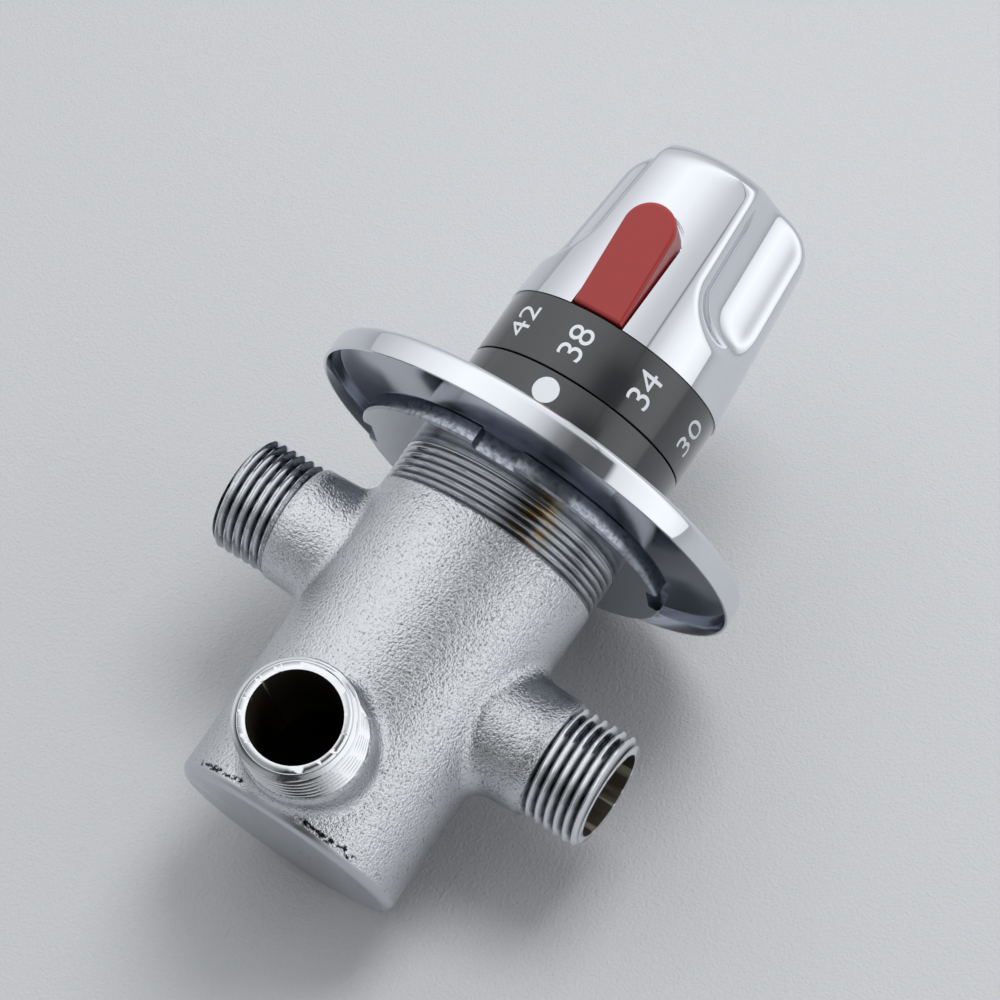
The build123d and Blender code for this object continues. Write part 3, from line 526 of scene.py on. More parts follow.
def floor_material(colour):
    """Matt grey board with a fine leather grain, clear when seen from below."""
    material, tree, output = new_material("grained_board")
    where = position(tree)
    shader = add(tree, "ShaderNodeBsdfPrincipled", Base_Color=linear(colour), Roughness=0.6, IOR=1.45)
    grain = add(tree, "ShaderNodeTexVoronoi", Vector=where, Scale=per_mm(0.6))
    fine = add(tree, "ShaderNodeTexNoise", Vector=where, Scale=per_mm(0.4), Detail=2.0)
    both = add(tree, "ShaderNodeMath", {"operation": "ADD"}, i0=grain.outputs["Distance"],
               i1=fine.outputs["Fac"])
    relief = add(tree, "ShaderNodeBump", Height=both.outputs[0], Distance=0.1 * MM, Strength=1.0)
    tree.links.new(relief.outputs[0], shader.inputs["Normal"])
    clear = add(tree, "ShaderNodeBsdfTransparent")
    side = add(tree, "ShaderNodeNewGeometry")
    mix = add(tree, "ShaderNodeMixShader", i0=side.outputs["Backfacing"], i1=shader.outputs[0],
              i2=clear.outputs[0])
    tree.links.new(mix.outputs[0], output.inputs[0])
    return material


MATERIALS = {}


def material(name):
    """The named finish, made on first use from the colours in the panel."""
    if name in MATERIALS:
        return MATERIALS[name]
    looks = bpy.context.scene.mixer_looks
    makers = {
        # Brass, sand-blasted and chromed: a grey sparkle of bright grains and pits darkened with painted
        # shade, never a mirror
        "cast": lambda: sandblasted_chrome("sand_blasted_chrome_painted_dent_shade", looks.cast_chrome, looks.cast_painted_dent_shade,
                                           looks.rubber),
        # Chrome over a buffed face: a clean mirror of the tent and of its gap
        "polished": lambda: metal("polished_chrome", looks.polished_chrome, 0.03),
        # Chrome over a turned face: nearly a mirror, with a faint tool grain
        "machined": lambda: metal("machined_chrome", looks.machined_chrome, 0.09, bump=(0.3, 0.004, 2.0)),
        # Chrome over a cut thread: bright crests over grooves darkened with grime and painted shade
        "thread": lambda: thread_metal("threaded_chrome_grime_and_shade", looks.machined_chrome, looks.grime_and_shade),
        # The same where the nut has worn it: brass shows through, and the grooves are darkened with grime and
        # painted shade
        "rubbed": lambda: thread_metal("rubbed_chrome_thread_grime_and_shade", looks.base_chrome, looks.grime_and_shade, looks.brass),
        # Chrome left unbuffed inside the pressing: a soft bluish grey
        "cup": lambda: metal("chrome_plate_back", looks.cup_chrome, 0.12),
        # Chrome over a belt-ground face: one broad, dull highlight
        "base": lambda: metal("linished_chrome", looks.base_chrome, 0.32, bump=(0.3, 0.01, 3.0)),
        # Bored brass that water has dulled: dim and brown, with little shine
        "bore": lambda: metal("machined_brass_bore", looks.bore_brass, 0.35, bump=(0.4, 0.02, 2.0),
                              metallic=0.85),
        # Chrome over a forged nut: smooth faces and a grainy edge, darkened in patches with painted
        # reflection
        "nut": lambda: nut_metal("rough_chrome_nut_painted_reflection", looks.nut_chrome, looks.cup_chrome, looks.grime_and_shade),
        # Turned brass: yellow, with soft highlights
        "brass": lambda: metal("turned_brass", looks.brass, 0.25, bump=(0.3, 0.01, 2.0)),
        # Drawn copper: red and a little dull
        "copper": lambda: metal("copper", looks.copper, 0.3),
        # Drawn spring steel: grey, with long highlights
        "steel": lambda: metal("spring_steel", looks.steel, 0.25),
        # Woven steel gauze, seen as one dull surface
        "mesh": lambda: metal("steel_gauze", looks.gauze, 0.35),
        # Moulded acetal: black with a wet-looking skin
        "black": lambda: plastic("black_acetal", looks.black_plastic, 0.25, coat=1.0),
        # Moulded ABS: deep red with a satin skin
        "red": lambda: plastic("red_abs", looks.red_plastic, 0.33, coat=0.2, grain=(0.8, 0.006)),
        # Moulded acetal: milky and soft
        "white": lambda: plastic("white_acetal", looks.white_plastic, 0.4),
        # Pad-printed ink: flat and pale
        "print": lambda: plastic("white_pad_print", looks.print_white, 0.55),
        # Moulded rubber: black without shine
        "rubber": lambda: plastic("black_rubber", looks.rubber, 0.65, grain=(0.4, 0.01)),
    }
    MATERIALS[name] = makers[name]()
    return MATERIALS[name]


# Shapes

def threaded_sleeve(low, high, crest, root, pitch, core, columns, lip=None,
                    step=THREAD_ROW):
    """Points, faces and groove depths of a screw thread on a sleeve: a closed mesh around the Z axis."""
    count = int((high - low) / step) + 1
    z = np.linspace(low, high, count)
    angle = np.linspace(0, 2 * math.pi, columns, endpoint=False)
    zz, aa = np.meshgrid(z, angle, indexing="ij")
    phase = np.mod(zz / pitch - aa / (2 * math.pi), 1.0)
    tri = np.abs(2 * phase - 1)
    height = THREAD_VEE * tri + (1 - THREAD_VEE) * (0.5 - 0.5 * np.cos(math.pi * tri))
    radius = root + (crest - root) * height
    if lip:
        radius = np.minimum(radius, lip + (high - zz) * LIP_SLOPE)
    rows = [np.stack([core * np.cos(angle), core * np.sin(angle), np.full(columns, low)], axis=1)]
    for j in range(count):
        rows.append(np.stack([radius[j] * np.cos(angle), radius[j] * np.sin(angle),
                              np.full(columns, z[j])], axis=1))
    rows.append(np.stack([core * np.cos(angle), core * np.sin(angle), np.full(columns, high)], axis=1))
    depth = np.zeros((count + 2, columns))
    depth[1:-1] = 1 - height
    return np.concatenate(rows), grid_faces(count + 2, columns, True), depth.ravel()


def mark_grooves(mesh, depth):
    """Stores how deep each vertex lies in its thread's groove, for the finish to darken with grime and
    painted shade.
    """
    attribute = mesh.attributes.new("groove", "FLOAT", "POINT")
    attribute.data.foreach_set("value", depth)


def tube(outer, inner, low, high, columns=96):
    """Points and faces of a plain tube about Z, used as a cutter."""
    return lathe([(inner, low), (outer, low), (outer, high), (inner, high)], columns)


def obround_prism(half_w, top_z, low_z, inner, outer, steps=24):
    """A slot's cutter, looking out along bench Y, turned to the button's angle."""
    centre_z = top_z - half_w
    loop = [(-half_w, low_z), (half_w, low_z)]
    loop += arc((0, centre_z), half_w, 0, 180, steps)
    verts = [(x, y, z) for y in (inner, outer) for x, z in loop]
    n = len(loop)
    faces = [tuple(range(n)), tuple(range(2 * n - 1, n - 1, -1))]
    faces += [(i, (i + 1) % n, n + (i + 1) % n, n + i) for i in range(n)]
    turn = Matrix.Rotation(math.radians(BUTTON_ANGLE), 3, "Z")
    return turned_to(verts, turn), faces


def knob_solid(p):
    """Signed distance to the knob's outer form, in mm: a domed cone less three finger flutes."""
    taper = math.atan((KNOB_LOW_R - KNOB_HIGH_R) / (KNOB_SHOULDER_Z - SCALE_TOP_Z))
    r = np.hypot(p[..., 0], p[..., 1])
    side = (r - (KNOB_LOW_R - (p[..., 2] - SCALE_TOP_Z) * math.tan(taper))) * math.cos(taper)
    rise = KNOB_TOP_Z - KNOB_SHOULDER_Z
    dome_r = (KNOB_HIGH_R ** 2 + rise ** 2) / (2 * rise)
    dome = np.sqrt(r ** 2 + (p[..., 2] - KNOB_TOP_Z + dome_r) ** 2) - dome_r
    shape = round_both(side, dome, KNOB_EDGE)
    ramp_r = KNOB_LOW_R - (FLUTE_RAMP_Z - SCALE_TOP_Z) * math.tan(taper)
    for angle in FLUTE_ANGLES:
        a = math.radians(angle)
        out = -math.sin(a) * p[..., 0] + math.cos(a) * p[..., 1] - (ramp_r - FLUTE_DEPTH + FLUTE_R)
        across = math.cos(a) * p[..., 0] + math.sin(a) * p[..., 1]
        up = p[..., 2] - FLUTE_RAMP_Z
        local_out = out * math.cos(taper) + up * math.sin(taper)
        local_up = -out * math.sin(taper) + up * math.cos(taper)
        bar = np.hypot(across, local_out) - FLUTE_R
        scale = np.array([1 / FLUTE_R, 1 / FLUTE_R, 1 / FLUTE_RAMP_H])
        q = np.stack([across, local_out, local_up], axis=-1)
        k0 = np.linalg.norm(q * scale, axis=-1)
        k1 = np.linalg.norm(q * scale * scale, axis=-1) + 1e-9
        ball = k0 * (k0 - 1) / k1
        cutter = np.where(local_up > 0, bar, ball)
        shape = round_both(shape, -cutter, FLUTE_EDGE)
    return shape


def round_both(a, b, radius):
    """Signed distance of what two forms share, with their edge rounded."""
    u = np.maximum(a + radius, 0)
    v = np.maximum(b + radius, 0)
    return np.minimum(np.maximum(a, b), -radius) + np.hypot(u, v)


def knob_surface(columns=288, side_rows=110, top_rows=70):
    """Bench points and faces of the knob's outer form, closed below, found by ray marching."""
    turn_z = KNOB_SHOULDER_Z - RAY_TURN
    starts, directions = [], []
    for k in range(side_rows):
        starts.append(SCALE_TOP_Z + (turn_z - SCALE_TOP_Z) * k / side_rows)
        directions.append(0.0)
    for k in range(top_rows):
        starts.append(turn_z)
        directions.append(math.radians(90) * k / top_rows)
    angle = np.linspace(0, 2 * math.pi, columns, endpoint=False)
    ss, aa = np.meshgrid(np.array(starts), angle, indexing="ij")
    ee = np.repeat(np.array(directions)[:, None], columns, axis=1)
    ray = np.stack([np.cos(ee) * np.cos(aa), np.cos(ee) * np.sin(aa), np.sin(ee)], axis=-1)
    origin = np.stack([np.zeros_like(ss), np.zeros_like(ss), ss], axis=-1)
    near, far = np.zeros_like(ss), np.full_like(ss, RAY_REACH)
    for _ in range(RAY_HALVINGS):
        middle = (near + far) / 2
        inside = knob_solid(origin + ray * middle[..., None]) < 0
        near = np.where(inside, middle, near)
        far = np.where(inside, far, middle)
    points = (origin + ray * near[..., None]).reshape(-1, 3)
    rows = side_rows + top_rows
    faces = grid_faces(rows, columns, False)
    points = np.concatenate([points, [(0, 0, KNOB_TOP_Z), (0, 0, SCALE_TOP_Z)]])
    top, bottom = rows * columns, rows * columns + 1
    for i in range(columns):
        faces.append(((rows - 1) * columns + i, (rows - 1) * columns + (i + 1) % columns, top))
        faces.append(((i + 1) % columns, i, bottom))
    return points, faces


def wrap_on_ring(mesh, angle, z, radius):
    """Bends a flat print so that its X runs along the spindle and its Y about the ring."""
    for vertex in mesh.vertices:
        x, y, t = vertex.co
        turn = math.radians(angle) - y / radius
        out = radius + t
        bench = (-math.sin(turn) * out, math.cos(turn) * out, z + x)
        vertex.co = Vector(to_row([bench])[0])


def slice_flat(mesh, spacing):
    """Cuts a flat print into narrow strips, so that it can bend."""
    bm = bmesh.new()
    bm.from_mesh(mesh)
    ys = [v.co.y for v in bm.verts]
    y = min(ys) + spacing
    while y < max(ys):
        whole = bm.verts[:] + bm.edges[:] + bm.faces[:]
        bmesh.ops.bisect_plane(bm, geom=whole, plane_co=(0, y, 0), plane_no=(0, 1, 0))
        y += spacing
    bmesh.ops.triangulate(bm, faces=bm.faces[:])
    bm.to_mesh(mesh)
    bm.free()


def slice_level(mesh, low, high, spacing):
    """Cuts a mesh in row metres at even bench heights, so that its shading stays true on long faces."""
    bm = bmesh.new()
    bm.from_mesh(mesh)
    z = high - SLICE_START
    while z > low:
        whole = bm.verts[:] + bm.edges[:] + bm.faces[:]
        bmesh.ops.bisect_plane(bm, geom=whole, plane_co=(0, -z * MM, 0), plane_no=(0, 1, 0))
        z -= spacing
    bm.to_mesh(mesh)
    bm.free()


def number_mesh(text, length, height, thickness):
    """A flat number of a given length and height in mm, which stands off the ring by its thickness."""
    curve = bpy.data.curves.new("number_" + text, "FONT")
    curve.body = text
    curve.size = 1.0
    curve.extrude = 0.5
    curve.offset = -0.002
    curve.resolution_u = 6
    holder = bpy.data.objects.new("number_holder", curve)
    bpy.context.scene.collection.objects.link(holder)
    bpy.context.view_layer.update()
    mesh = bpy.data.meshes.new_from_object(holder.evaluated_get(bpy.context.evaluated_depsgraph_get()))
    bpy.data.objects.remove(holder)
    co = np.array([v.co[:] for v in mesh.vertices])
    low, high = co.min(axis=0), co.max(axis=0)
    size = high - low
    scale = np.array([length / size[0], height / size[1], 2 * thickness / size[2]])
    co = (co - (low + high) / 2) * scale
    for vertex, place in zip(mesh.vertices, co):
        vertex.co = place
    return mesh


# Settings

def colour(name, default, use):
    """A panel colour, as sRGB hex."""
    return bpy.props.StringProperty(name=name, default=default, description=use + ", sRGB hex")


class MixerLooks(bpy.types.PropertyGroup):
    """Colours of the finishes."""
    cast_chrome: colour("Cast chrome", "#CFD1D4", "Chrome over the sand-blasted casting")
    # painted shade: the darker colour given to the low points of the casting's grit relief
    cast_painted_dent_shade: colour("Cast pits", "#66686B", "Duller pits in the casting")
    polished_chrome: colour("Polished chrome", "#E1E3E8", "Knob and trim plate")
    machined_chrome: colour("Machined chrome", "#E4E6E9", "Port threads and lips")
    base_chrome: colour("Base chrome", "#C8CACE", "Ground base and nut thread")
    nut_chrome: colour("Nut chrome", "#C2C6CE", "Flat faces of the ring nut")
    cup_chrome: colour("Cup chrome", "#A9AFBA", "Back of the trim plate")
    # grime and painted shade in the thread grooves, and the dark patches painted on the nut's edge
    grime_and_shade: colour("Grime", "#4A4B4F", "Dark metal in grooves and grain")
    bore_brass: colour("Bore", "#655F54", "Machined brass inside the ports")
    brass: colour("Brass", "#CDA95B", "Turned brass")
    copper: colour("Copper", "#C07A55", "Wax capsule")
    steel: colour("Steel", "#B9BABC", "Springs, pins")
    gauze: colour("Gauze", "#A8956A", "Strainers")
    black_plastic: colour("Black plastic", "#1E1F22", "Index and scale rings")
    red_plastic: colour("Red plastic", "#932220", "Safety button")
    white_plastic: colour("White plastic", "#DDDCD6", "Inner mouldings")
    print_white: colour("Print", "#CDD1D5", "Numbers and index dot")
    rubber: colour("Rubber", "#1E1E1F", "Seals")
    floor: colour("Floor", "#BABBBE", "Board below")


class MixerSizes(bpy.types.PropertyGroup):
    """Sizes of the print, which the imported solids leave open."""
    number_length: bpy.props.FloatProperty(name="Number length", default=DIAL_LENGTH * MM, precision=5,
                                           unit="LENGTH", description="Length of a dial number")
    number_height: bpy.props.FloatProperty(name="Number height", default=DIAL_HEIGHT * MM, precision=5,
                                           unit="LENGTH", description="Height of a dial number")
    dot_radius: bpy.props.FloatProperty(name="Dot radius", default=DOT_R * MM, precision=5, unit="LENGTH",
                                        description="Radius of the index dot")
    print_thickness: bpy.props.FloatProperty(name="Print thickness", default=PRINT_T * MM, precision=5,
                                             unit="LENGTH", description="How far the print stands off")


class MixerStage(bpy.types.PropertyGroup):
    """Camera and light of the stage."""
    lens: bpy.props.FloatProperty(name="Lens", default=125.31, description="Focal length in millimetres")
    tent: bpy.props.FloatProperty(name="Tent", default=1.27, description="Strength of the light tent")
    lamp: bpy.props.FloatProperty(name="Lamp", default=1.9, unit="POWER", description="Overhead lamp")
    lamp_width: bpy.props.FloatProperty(name="Lamp width", default=0.3, unit="LENGTH",
                                        description="Width of the overhead lamp")
    floor_size: bpy.props.FloatProperty(name="Floor size", default=4.0, unit="LENGTH",
                                        description="Side of the floor board")


# Operators

class MIXER_OT_stage(bpy.types.Operator):
    """Makes the board, the light tent, the overhead lamp and the camera"""
    bl_idname = "mixer.stage"
    bl_label = "Stage"

    def execute(self, context):
        stage = context.scene.mixer_stage
        looks = context.scene.mixer_looks
        scene = context.scene
        scene.view_settings.view_transform = "Standard"
        up = Vector(FLOOR_NORMAL).normalized()
        across = Vector((1, 0, 0))
        across = (across - up * across.dot(up)).normalized()
        deep = up.cross(across)
        middle = up * (FLOOR_LEVEL * MM)
        half = stage.floor_size / 2
        corners = [middle + across * (a * half) + deep * (b * half)
                   for a, b in ((-1, -1), (1, -1), (1, 1), (-1, 1))]
        mesh = bpy.data.meshes.new("floor")
        mesh.from_pydata([tuple(c) for c in corners], [], [(0, 1, 2, 3)])
        mesh.materials.append(floor_material(looks.floor))
        floor = bpy.data.objects.new("floor", mesh)
        scene.collection.objects.link(floor)
        scene.world = tent(stage.tent)
        overhead_lamp(stage.lamp, stage.lamp_width)
        camera_data = bpy.data.cameras.new("camera")
        camera_data.lens = stage.lens
        camera_data.sensor_width = 36.0
        camera = bpy.data.objects.new("camera", camera_data)
        right, upward, forward = (Vector(v).normalized() for v in (CAMERA_RIGHT, CAMERA_UP, CAMERA_FORWARD))
        turn = Matrix((right, upward, -forward)).transposed().to_4x4()
        camera.matrix_world = Matrix.Translation(Vector(CAMERA_PLACE) * MM) @ turn
        scene.collection.objects.link(camera)
        scene.camera = camera
        return {"FINISHED"}


def tent_ramp(tree, turn, stops):
    """A colour ramp over the angle about the spindle."""
    ramp = add(tree, "ShaderNodeValToRGB", Fac=turn)
    elements = ramp.color_ramp.elements
    while len(elements) < len(stops):
        elements.new(0.5)
    for element, (degrees, level) in zip(elements, stops):
        element.position = (degrees + 180) / 360
        element.color = (level * 0.97, level * 0.985, level, 1.0)
    return ramp.outputs[0]


def tent(strength):
    """Two soft boxes that wrap round the part, with a dim gap between them."""
    world = bpy.data.worlds.new("light_tent")
    world.use_nodes = True
    tree = world.node_tree
    tree.nodes.clear()
    toward = tree.nodes.new("ShaderNodeTexCoord").outputs["Generated"]
    way = add(tree, "ShaderNodeSeparateXYZ", Vector=toward)
    across = add(tree, "ShaderNodeMath", {"operation": "MULTIPLY"}, i0=way.outputs["X"], i1=-1.0)
    angle = add(tree, "ShaderNodeMath", {"operation": "ARCTAN2"}, i0=across.outputs[0], i1=way.outputs["Z"])
    turn = add(tree, "ShaderNodeMapRange", Value=angle.outputs[0], i1=-math.pi, i2=math.pi).outputs[0]
    front = add(tree, "ShaderNodeMapRange", Value=way.outputs["Y"], i1=TENT_LEVEL_Y,
                i2=TENT_FRONT_Y)
    both = add(tree, "ShaderNodeMix", {"data_type": "RGBA"}, i0=front.outputs[0],
               i6=tent_ramp(tree, turn, TENT_LEVEL), i7=tent_ramp(tree, turn, TENT_FRONT))
    back = add(tree, "ShaderNodeMapRange", {"interpolation_type": "SMOOTHSTEP"}, Value=way.outputs["Y"],
               i1=0.05, i2=0.75, i3=strength, i4=strength * 0.3)
    light = add(tree, "ShaderNodeBackground", Color=both.outputs[2], Strength=back.outputs[0])
    output = tree.nodes.new("ShaderNodeOutputWorld")
    tree.links.new(light.outputs[0], output.inputs[0])
    return world


def overhead_lamp(power, width):
    """A broad lamp beyond the knob that gives the part its shadow on the board, and no glint."""
    data = bpy.data.lights.new("overhead_lamp", "AREA")
    data.shape = "DISK"
    data.size = width
    data.energy = power
    lamp = bpy.data.objects.new("overhead_lamp", data)
    way = Vector(LAMP_WAY).normalized()
    turn = way.to_track_quat("Z", "Y").to_matrix().to_4x4()
    lamp.matrix_world = Matrix.Translation(way * (LAMP_OFF * MM)) @ turn
    lamp.visible_glossy = False
    bpy.context.scene.collection.objects.link(lamp)


class MIXER_OT_casting(bpy.types.Operator):
    """Makes the cast body with its bare seats for the threads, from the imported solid"""
    bl_idname = "mixer.casting"
    bl_label = "Cast body"

    def execute(self, context):
        mesh = frame["nodes"]["valve_body"].data.copy()
        cutters = []
        for side, z, reach in PORTS:
            verts, faces = tube(THREAD_R + 2, THREAD_ROOT_R - PORT_SEAT_DROP, reach - THREAD_L, reach + 1)
            cutters.append((to_row(port_points(verts, side, z)), faces))
        verts, faces = tube(BODY_R + 1, BODY_THREAD_ROOT_R - BODY_SEAT_DROP, BODY_THREAD_LOW_Z,
                            BODY_THREAD_TOP_Z)
        cutters.append((to_row(verts), faces))
        bm = bmesh.new()
        bm.from_mesh(mesh)
        bmesh.ops.remove_doubles(bm, verts=bm.verts, dist=1e-6)
        bm.to_mesh(mesh)
        bm.free()
        result = cut(mesh, cutters, "casting")
        slice_level(result, BASE_Z, BODY_THREAD_LOW_Z, CASTING_SLICE)
        looks = [material("cast"), material("bore"), material("base"), material("machined")]
        obj = finish_mesh("casting", result, "valve", looks, 32.0)
        for polygon in result.polygons:
            polygon.material_index = casting_finish(polygon.center / MM)
        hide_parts("valve_body")
        return {"FINISHED"}


def casting_finish(centre):
    """Which of the casting's four finishes a face has, by its centre in row millimetres."""
    x, y, z = centre.x, centre.z, -centre.y
    for side, port_z, reach in PORTS:
        if side == "outlet":
            along, off = y, math.hypot(x, z - port_z)
        else:
            sign = -1 if side == "hot" else 1
            along, off = sign * x, math.hypot(y, z - port_z)
        if along > reach - FACE_SLACK and off < THREAD_R:
            return MACHINED
        if off < BORE_R + BORE_SLACK and along > BORE_START:
            return BORED
    if math.hypot(x, y) < CHAMBER_R and BASE_Z + CHAMBER_RISE < z < INDEX_LOW_Z:
        return BORED
    if z < BASE_Z + BASE_BAND:
        return GROUND
    return MACHINED if z > BODY_THREAD_TOP_Z - TOP_SLACK else BLASTED


class MIXER_OT_threads(bpy.types.Operator):
    """Cuts the screw threads of the three ports and of the ring nut's seat"""
    bl_idname = "mixer.threads"
    bl_label = "Threads"

    def execute(self, context):
        for side, z, reach in PORTS:
            verts, faces, depth = threaded_sleeve(reach - THREAD_L + SLEEVE_GAP, reach, THREAD_R,
                                                  THREAD_ROOT_R, PITCH, THREAD_ROOT_R - PORT_CORE_DROP,
                                                  144, LIP_R)
            obj = make_object(side + "_thread", to_row(port_points(verts, side, z)), faces, "valve",
                              [material("thread")], 60.0)
            mark_grooves(obj.data, depth)
        verts, faces, depth = threaded_sleeve(BODY_THREAD_LOW_Z + SLEEVE_GAP,
                                              BODY_THREAD_TOP_Z - SLEEVE_GAP, BODY_R, BODY_THREAD_ROOT_R,
                                              BODY_PITCH, BODY_THREAD_ROOT_R - BODY_CORE_DROP, 288)
        obj = make_object("nut_thread", to_row(verts), faces, "valve", [material("rubbed")], 60.0)
        mark_grooves(obj.data, depth)
        return {"FINISHED"}


class MIXER_OT_trim_plate(bpy.types.Operator):
    """Spins the trim plate"""
    bl_idname = "mixer.trim_plate"
    bl_label = "Trim plate"

    def execute(self, context):
        shoulder_w = TRIM_R - TRIM_FLAT_R
        low = TRIM_CROWN_R - (TRIM_H - TRIM_RIM_H)
        edge_r = (TRIM_CROWN_R ** 2 - shoulder_w ** 2 - low ** 2) / (2 * (TRIM_CROWN_R - shoulder_w))
        crown = (TRIM_FLAT_R, TRIM_H - TRIM_CROWN_R)
        edge = (TRIM_R - edge_r, TRIM_RIM_H)
        meet = math.degrees(math.atan2(low, shoulder_w - edge_r))
        inner_h = TRIM_H - TRIM_WALL
        collar_r = TRIM_HOLE_R + TRIM_WALL
        profile = arc(edge, edge_r, 0, meet, 14) + arc(crown, TRIM_CROWN_R, meet, 90, 12)[1:]
        profile += [(TRIM_FACE_R, TRIM_H), (TRIM_HOLE_R + HOLE_EDGE, TRIM_H),
                    (TRIM_HOLE_R + 0.3 * HOLE_EDGE, TRIM_H - 0.3 * HOLE_EDGE),
                    (TRIM_HOLE_R, TRIM_H - HOLE_EDGE), (TRIM_HOLE_R, TRIM_COLLAR_Z),
                    (collar_r, TRIM_COLLAR_Z), (collar_r, inner_h)]
        profile += arc(crown, TRIM_CROWN_R - TRIM_WALL, 90, meet, 10)
        profile += arc(edge, edge_r - TRIM_WALL, meet, 0, 6)[1:]
        profile += [(TRIM_R - TRIM_WALL, TRIM_RIM_H - TRIM_TAPER), (TRIM_R - TRIM_RIM_WALL, RIM_BREAK),
                    (TRIM_R - TRIM_RIM_WALL + RIM_BREAK, 0), (TRIM_R - RIM_EDGE, 0),
                    (TRIM_R - 0.28 * RIM_EDGE, 0.28 * RIM_EDGE), (TRIM_R, RIM_EDGE)]
        verts, faces = lathe(profile, 256)
        obj = make_object("spun_trim_plate", to_row(verts), faces, "valve",
                          [material("polished"), material("cup")], 40.0)
        for polygon in obj.data.polygons:
            centre, normal = polygon.center / MM, polygon.normal
            radius = math.hypot(centre.x, centre.z)
            inward = (centre.x * normal.x + centre.z * normal.z) / radius < -0.5
            if radius < TRIM_R - TRIM_RIM_WALL and (normal.y > 0.02 or inward):
                polygon.material_index = 1
        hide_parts("trim_plate")
        return {"FINISHED"}


class MIXER_OT_rings(bpy.types.Operator):
    """Makes the two black rings with their softened edges"""
    bl_idname = "mixer.rings"
    bl_label = "Black rings"

    def execute(self, context):
        inner_r = RING_R - INDEX_WALL
        web_top = INDEX_LOW_Z + INDEX_WEB
        outline = [(INDEX_HOLE_R, INDEX_LOW_Z), (RING_R, INDEX_LOW_Z), (RING_R, INDEX_TOP_Z),
                   (inner_r, INDEX_TOP_Z), (inner_r, web_top), (INDEX_HOLE_R, web_top)]
        verts, faces = lathe(rounded(outline, RING_EDGE), 256)
        obj = make_object("moulded_index_ring", to_row(verts), faces, "valve", [material("black")], 40.0)
        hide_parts("index_ring")
        outline = [(SCALE_HOLE_R, SCALE_LOW_Z), (RING_R, SCALE_LOW_Z), (RING_R, SCALE_TOP_Z),
                   (SCALE_HOLE_R, SCALE_TOP_Z)]
        verts, faces = lathe(rounded(outline, RING_EDGE), 256)
        obj = make_object("moulded_scale_ring", to_row(verts), faces, "knob", [material("black")], 40.0)
        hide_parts("scale_ring")
        return {"FINISHED"}


class MIXER_OT_numbers(bpy.types.Operator):
    """Prints the dial's numbers and the index dot"""
    bl_idname = "mixer.numbers"
    bl_label = "Dial print"

    def execute(self, context):
        sizes = context.scene.mixer_sizes
        thickness, dot_r = sizes.print_thickness / MM, sizes.dot_radius / MM
        for text, angle in DIAL_NUMBERS:
            mesh = number_mesh(text, sizes.number_length / MM, sizes.number_height / MM, thickness)
            slice_flat(mesh, PRINT_SLICE)
            wrap_on_ring(mesh, angle, DIAL_Z, RING_R)
            obj = finish_mesh("dial_number_" + text, mesh, "knob", [material("print")])
        bm = bmesh.new()
        bmesh.ops.create_cone(bm, cap_ends=True, segments=64, radius1=dot_r, radius2=dot_r,
                              depth=2 * thickness)
        mesh = bpy.data.meshes.new("dot")
        bm.to_mesh(mesh)
        bm.free()
        slice_flat(mesh, PRINT_SLICE)
        wrap_on_ring(mesh, DOT_ANGLE, DOT_Z, RING_R)
        obj = finish_mesh("index_dot", mesh, "valve", [material("print")])
        return {"FINISHED"}


class MIXER_OT_knob(bpy.types.Operator):
    """Makes the fluted knob shell with its slot for the button"""
    bl_idname = "mixer.knob"
    bl_label = "Knob shell"

    def execute(self, context):
        points, faces = knob_surface()
        mesh = bpy.data.meshes.new("knob_blank")
        mesh.from_pydata([tuple(v) for v in to_row(points)], [], faces)
        mouth = SCALE_TOP_Z - MOUTH_DROP
        slot_v, slot_f = obround_prism(SLOT_HALF_W, SLOT_TOP_Z, mouth, SLOT_INNER_R, RAY_REACH)
        hollow = [(AXIS_R, mouth), (HOLLOW[0][0], mouth), *HOLLOW, (AXIS_R, HOLLOW[-1][1])]
        hollow_v, hollow_f = lathe(hollow, 96)
        result = cut(mesh, [(to_row(hollow_v), hollow_f), (to_row(slot_v), slot_f)], "knob")
        obj = finish_mesh("fluted_knob", result, "knob", [material("polished")], 35.0)
        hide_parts("knob_shell")
        return {"FINISHED"}


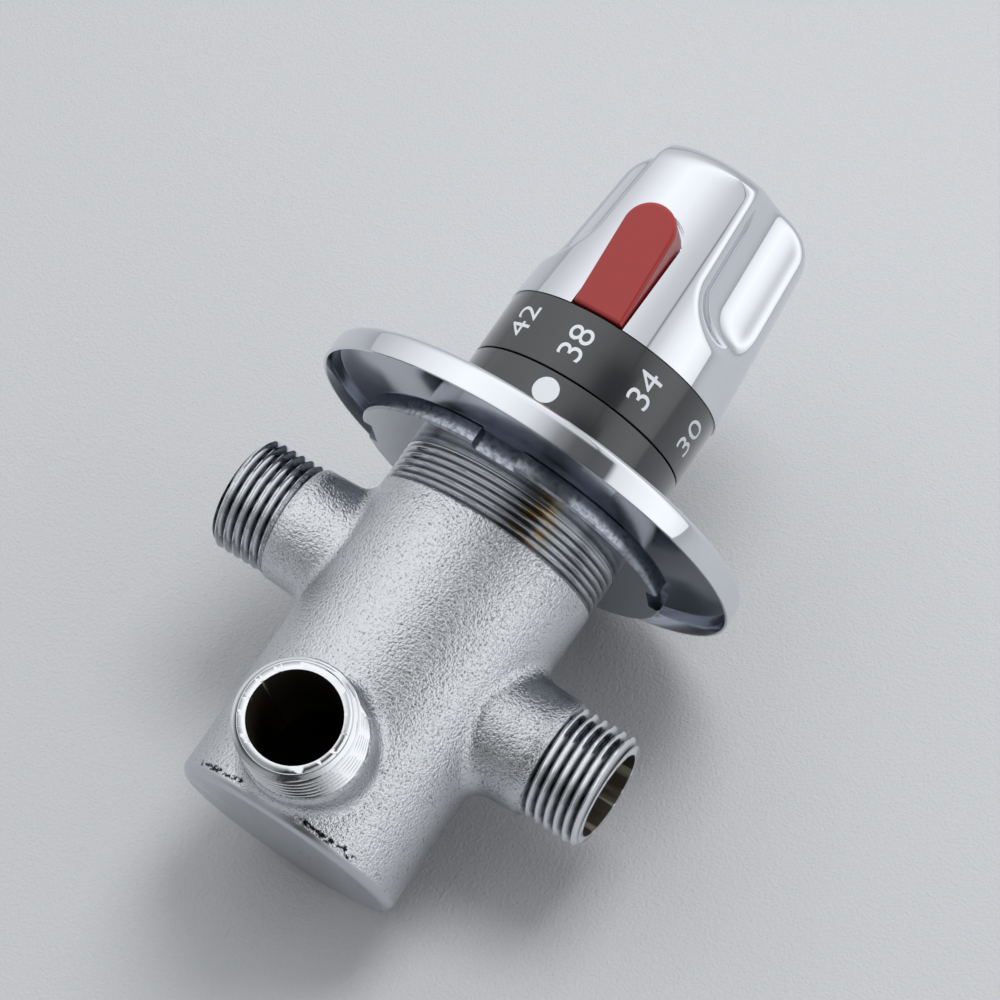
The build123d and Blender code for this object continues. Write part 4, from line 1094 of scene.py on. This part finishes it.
class MIXER_OT_kept_parts(bpy.types.Operator):
    """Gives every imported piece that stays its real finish"""
    bl_idname = "mixer.kept_parts"
    bl_label = "Kept parts"

    def execute(self, context):
        finish = {"cast_chrome": "cast", "nut_chrome": "nut", "trim_chrome": "polished",
                  "knob_chrome": "polished", "black_plastic": "black", "red_plastic": "red",
                  "white_plastic": "white", "turned_brass": "brass", "copper_wax": "copper",
                  "spring_steel": "steel", "steel_mesh": "mesh", "black_rubber": "rubber"}
        for part in frame["record"]["subparts"]:
            node = frame["nodes"][part["node"]]
            if not node.material_slots:
                raise RuntimeError("no material slot on " + part["node"])
            for slot in node.material_slots:
                slot.material = material(finish[part["material_slot"]])
        return {"FINISHED"}


class MIXER_PT_panel(bpy.types.Panel):
    """Lists the pieces of the mixer and their settings"""
    bl_idname = "MIXER_PT_panel"
    bl_label = "Shower mixer"
    bl_space_type = "VIEW_3D"
    bl_region_type = "UI"
    bl_category = "Mixer"

    def draw(self, context):
        for operator in OPERATORS:
            self.layout.operator(operator.bl_idname)
        scene = context.scene
        for group in (scene.mixer_looks, scene.mixer_sizes, scene.mixer_stage):
            for name in group.__annotations__:
                self.layout.prop(group, name)


OPERATORS = (MIXER_OT_stage, MIXER_OT_kept_parts, MIXER_OT_casting, MIXER_OT_threads, MIXER_OT_trim_plate,
             MIXER_OT_rings, MIXER_OT_numbers, MIXER_OT_knob)
CLASSES = (MixerLooks, MixerSizes, MixerStage, *OPERATORS, MIXER_PT_panel)


def register():
    for cls in CLASSES:
        bpy.utils.register_class(cls)
    bpy.types.Scene.mixer_looks = bpy.props.PointerProperty(type=MixerLooks)
    bpy.types.Scene.mixer_sizes = bpy.props.PointerProperty(type=MixerSizes)
    bpy.types.Scene.mixer_stage = bpy.props.PointerProperty(type=MixerStage)


def unregister():
    del bpy.types.Scene.mixer_stage
    del bpy.types.Scene.mixer_sizes
    del bpy.types.Scene.mixer_looks
    for cls in reversed(CLASSES):
        bpy.utils.unregister_class(cls)


def main():
    register()
    bpy.ops.mixer.stage()
    bpy.ops.mixer.kept_parts()
    bpy.ops.mixer.casting()
    bpy.ops.mixer.threads()
    bpy.ops.mixer.trim_plate()
    bpy.ops.mixer.rings()
    bpy.ops.mixer.numbers()
    bpy.ops.mixer.knob()


if __name__ == "__main__":
    main()
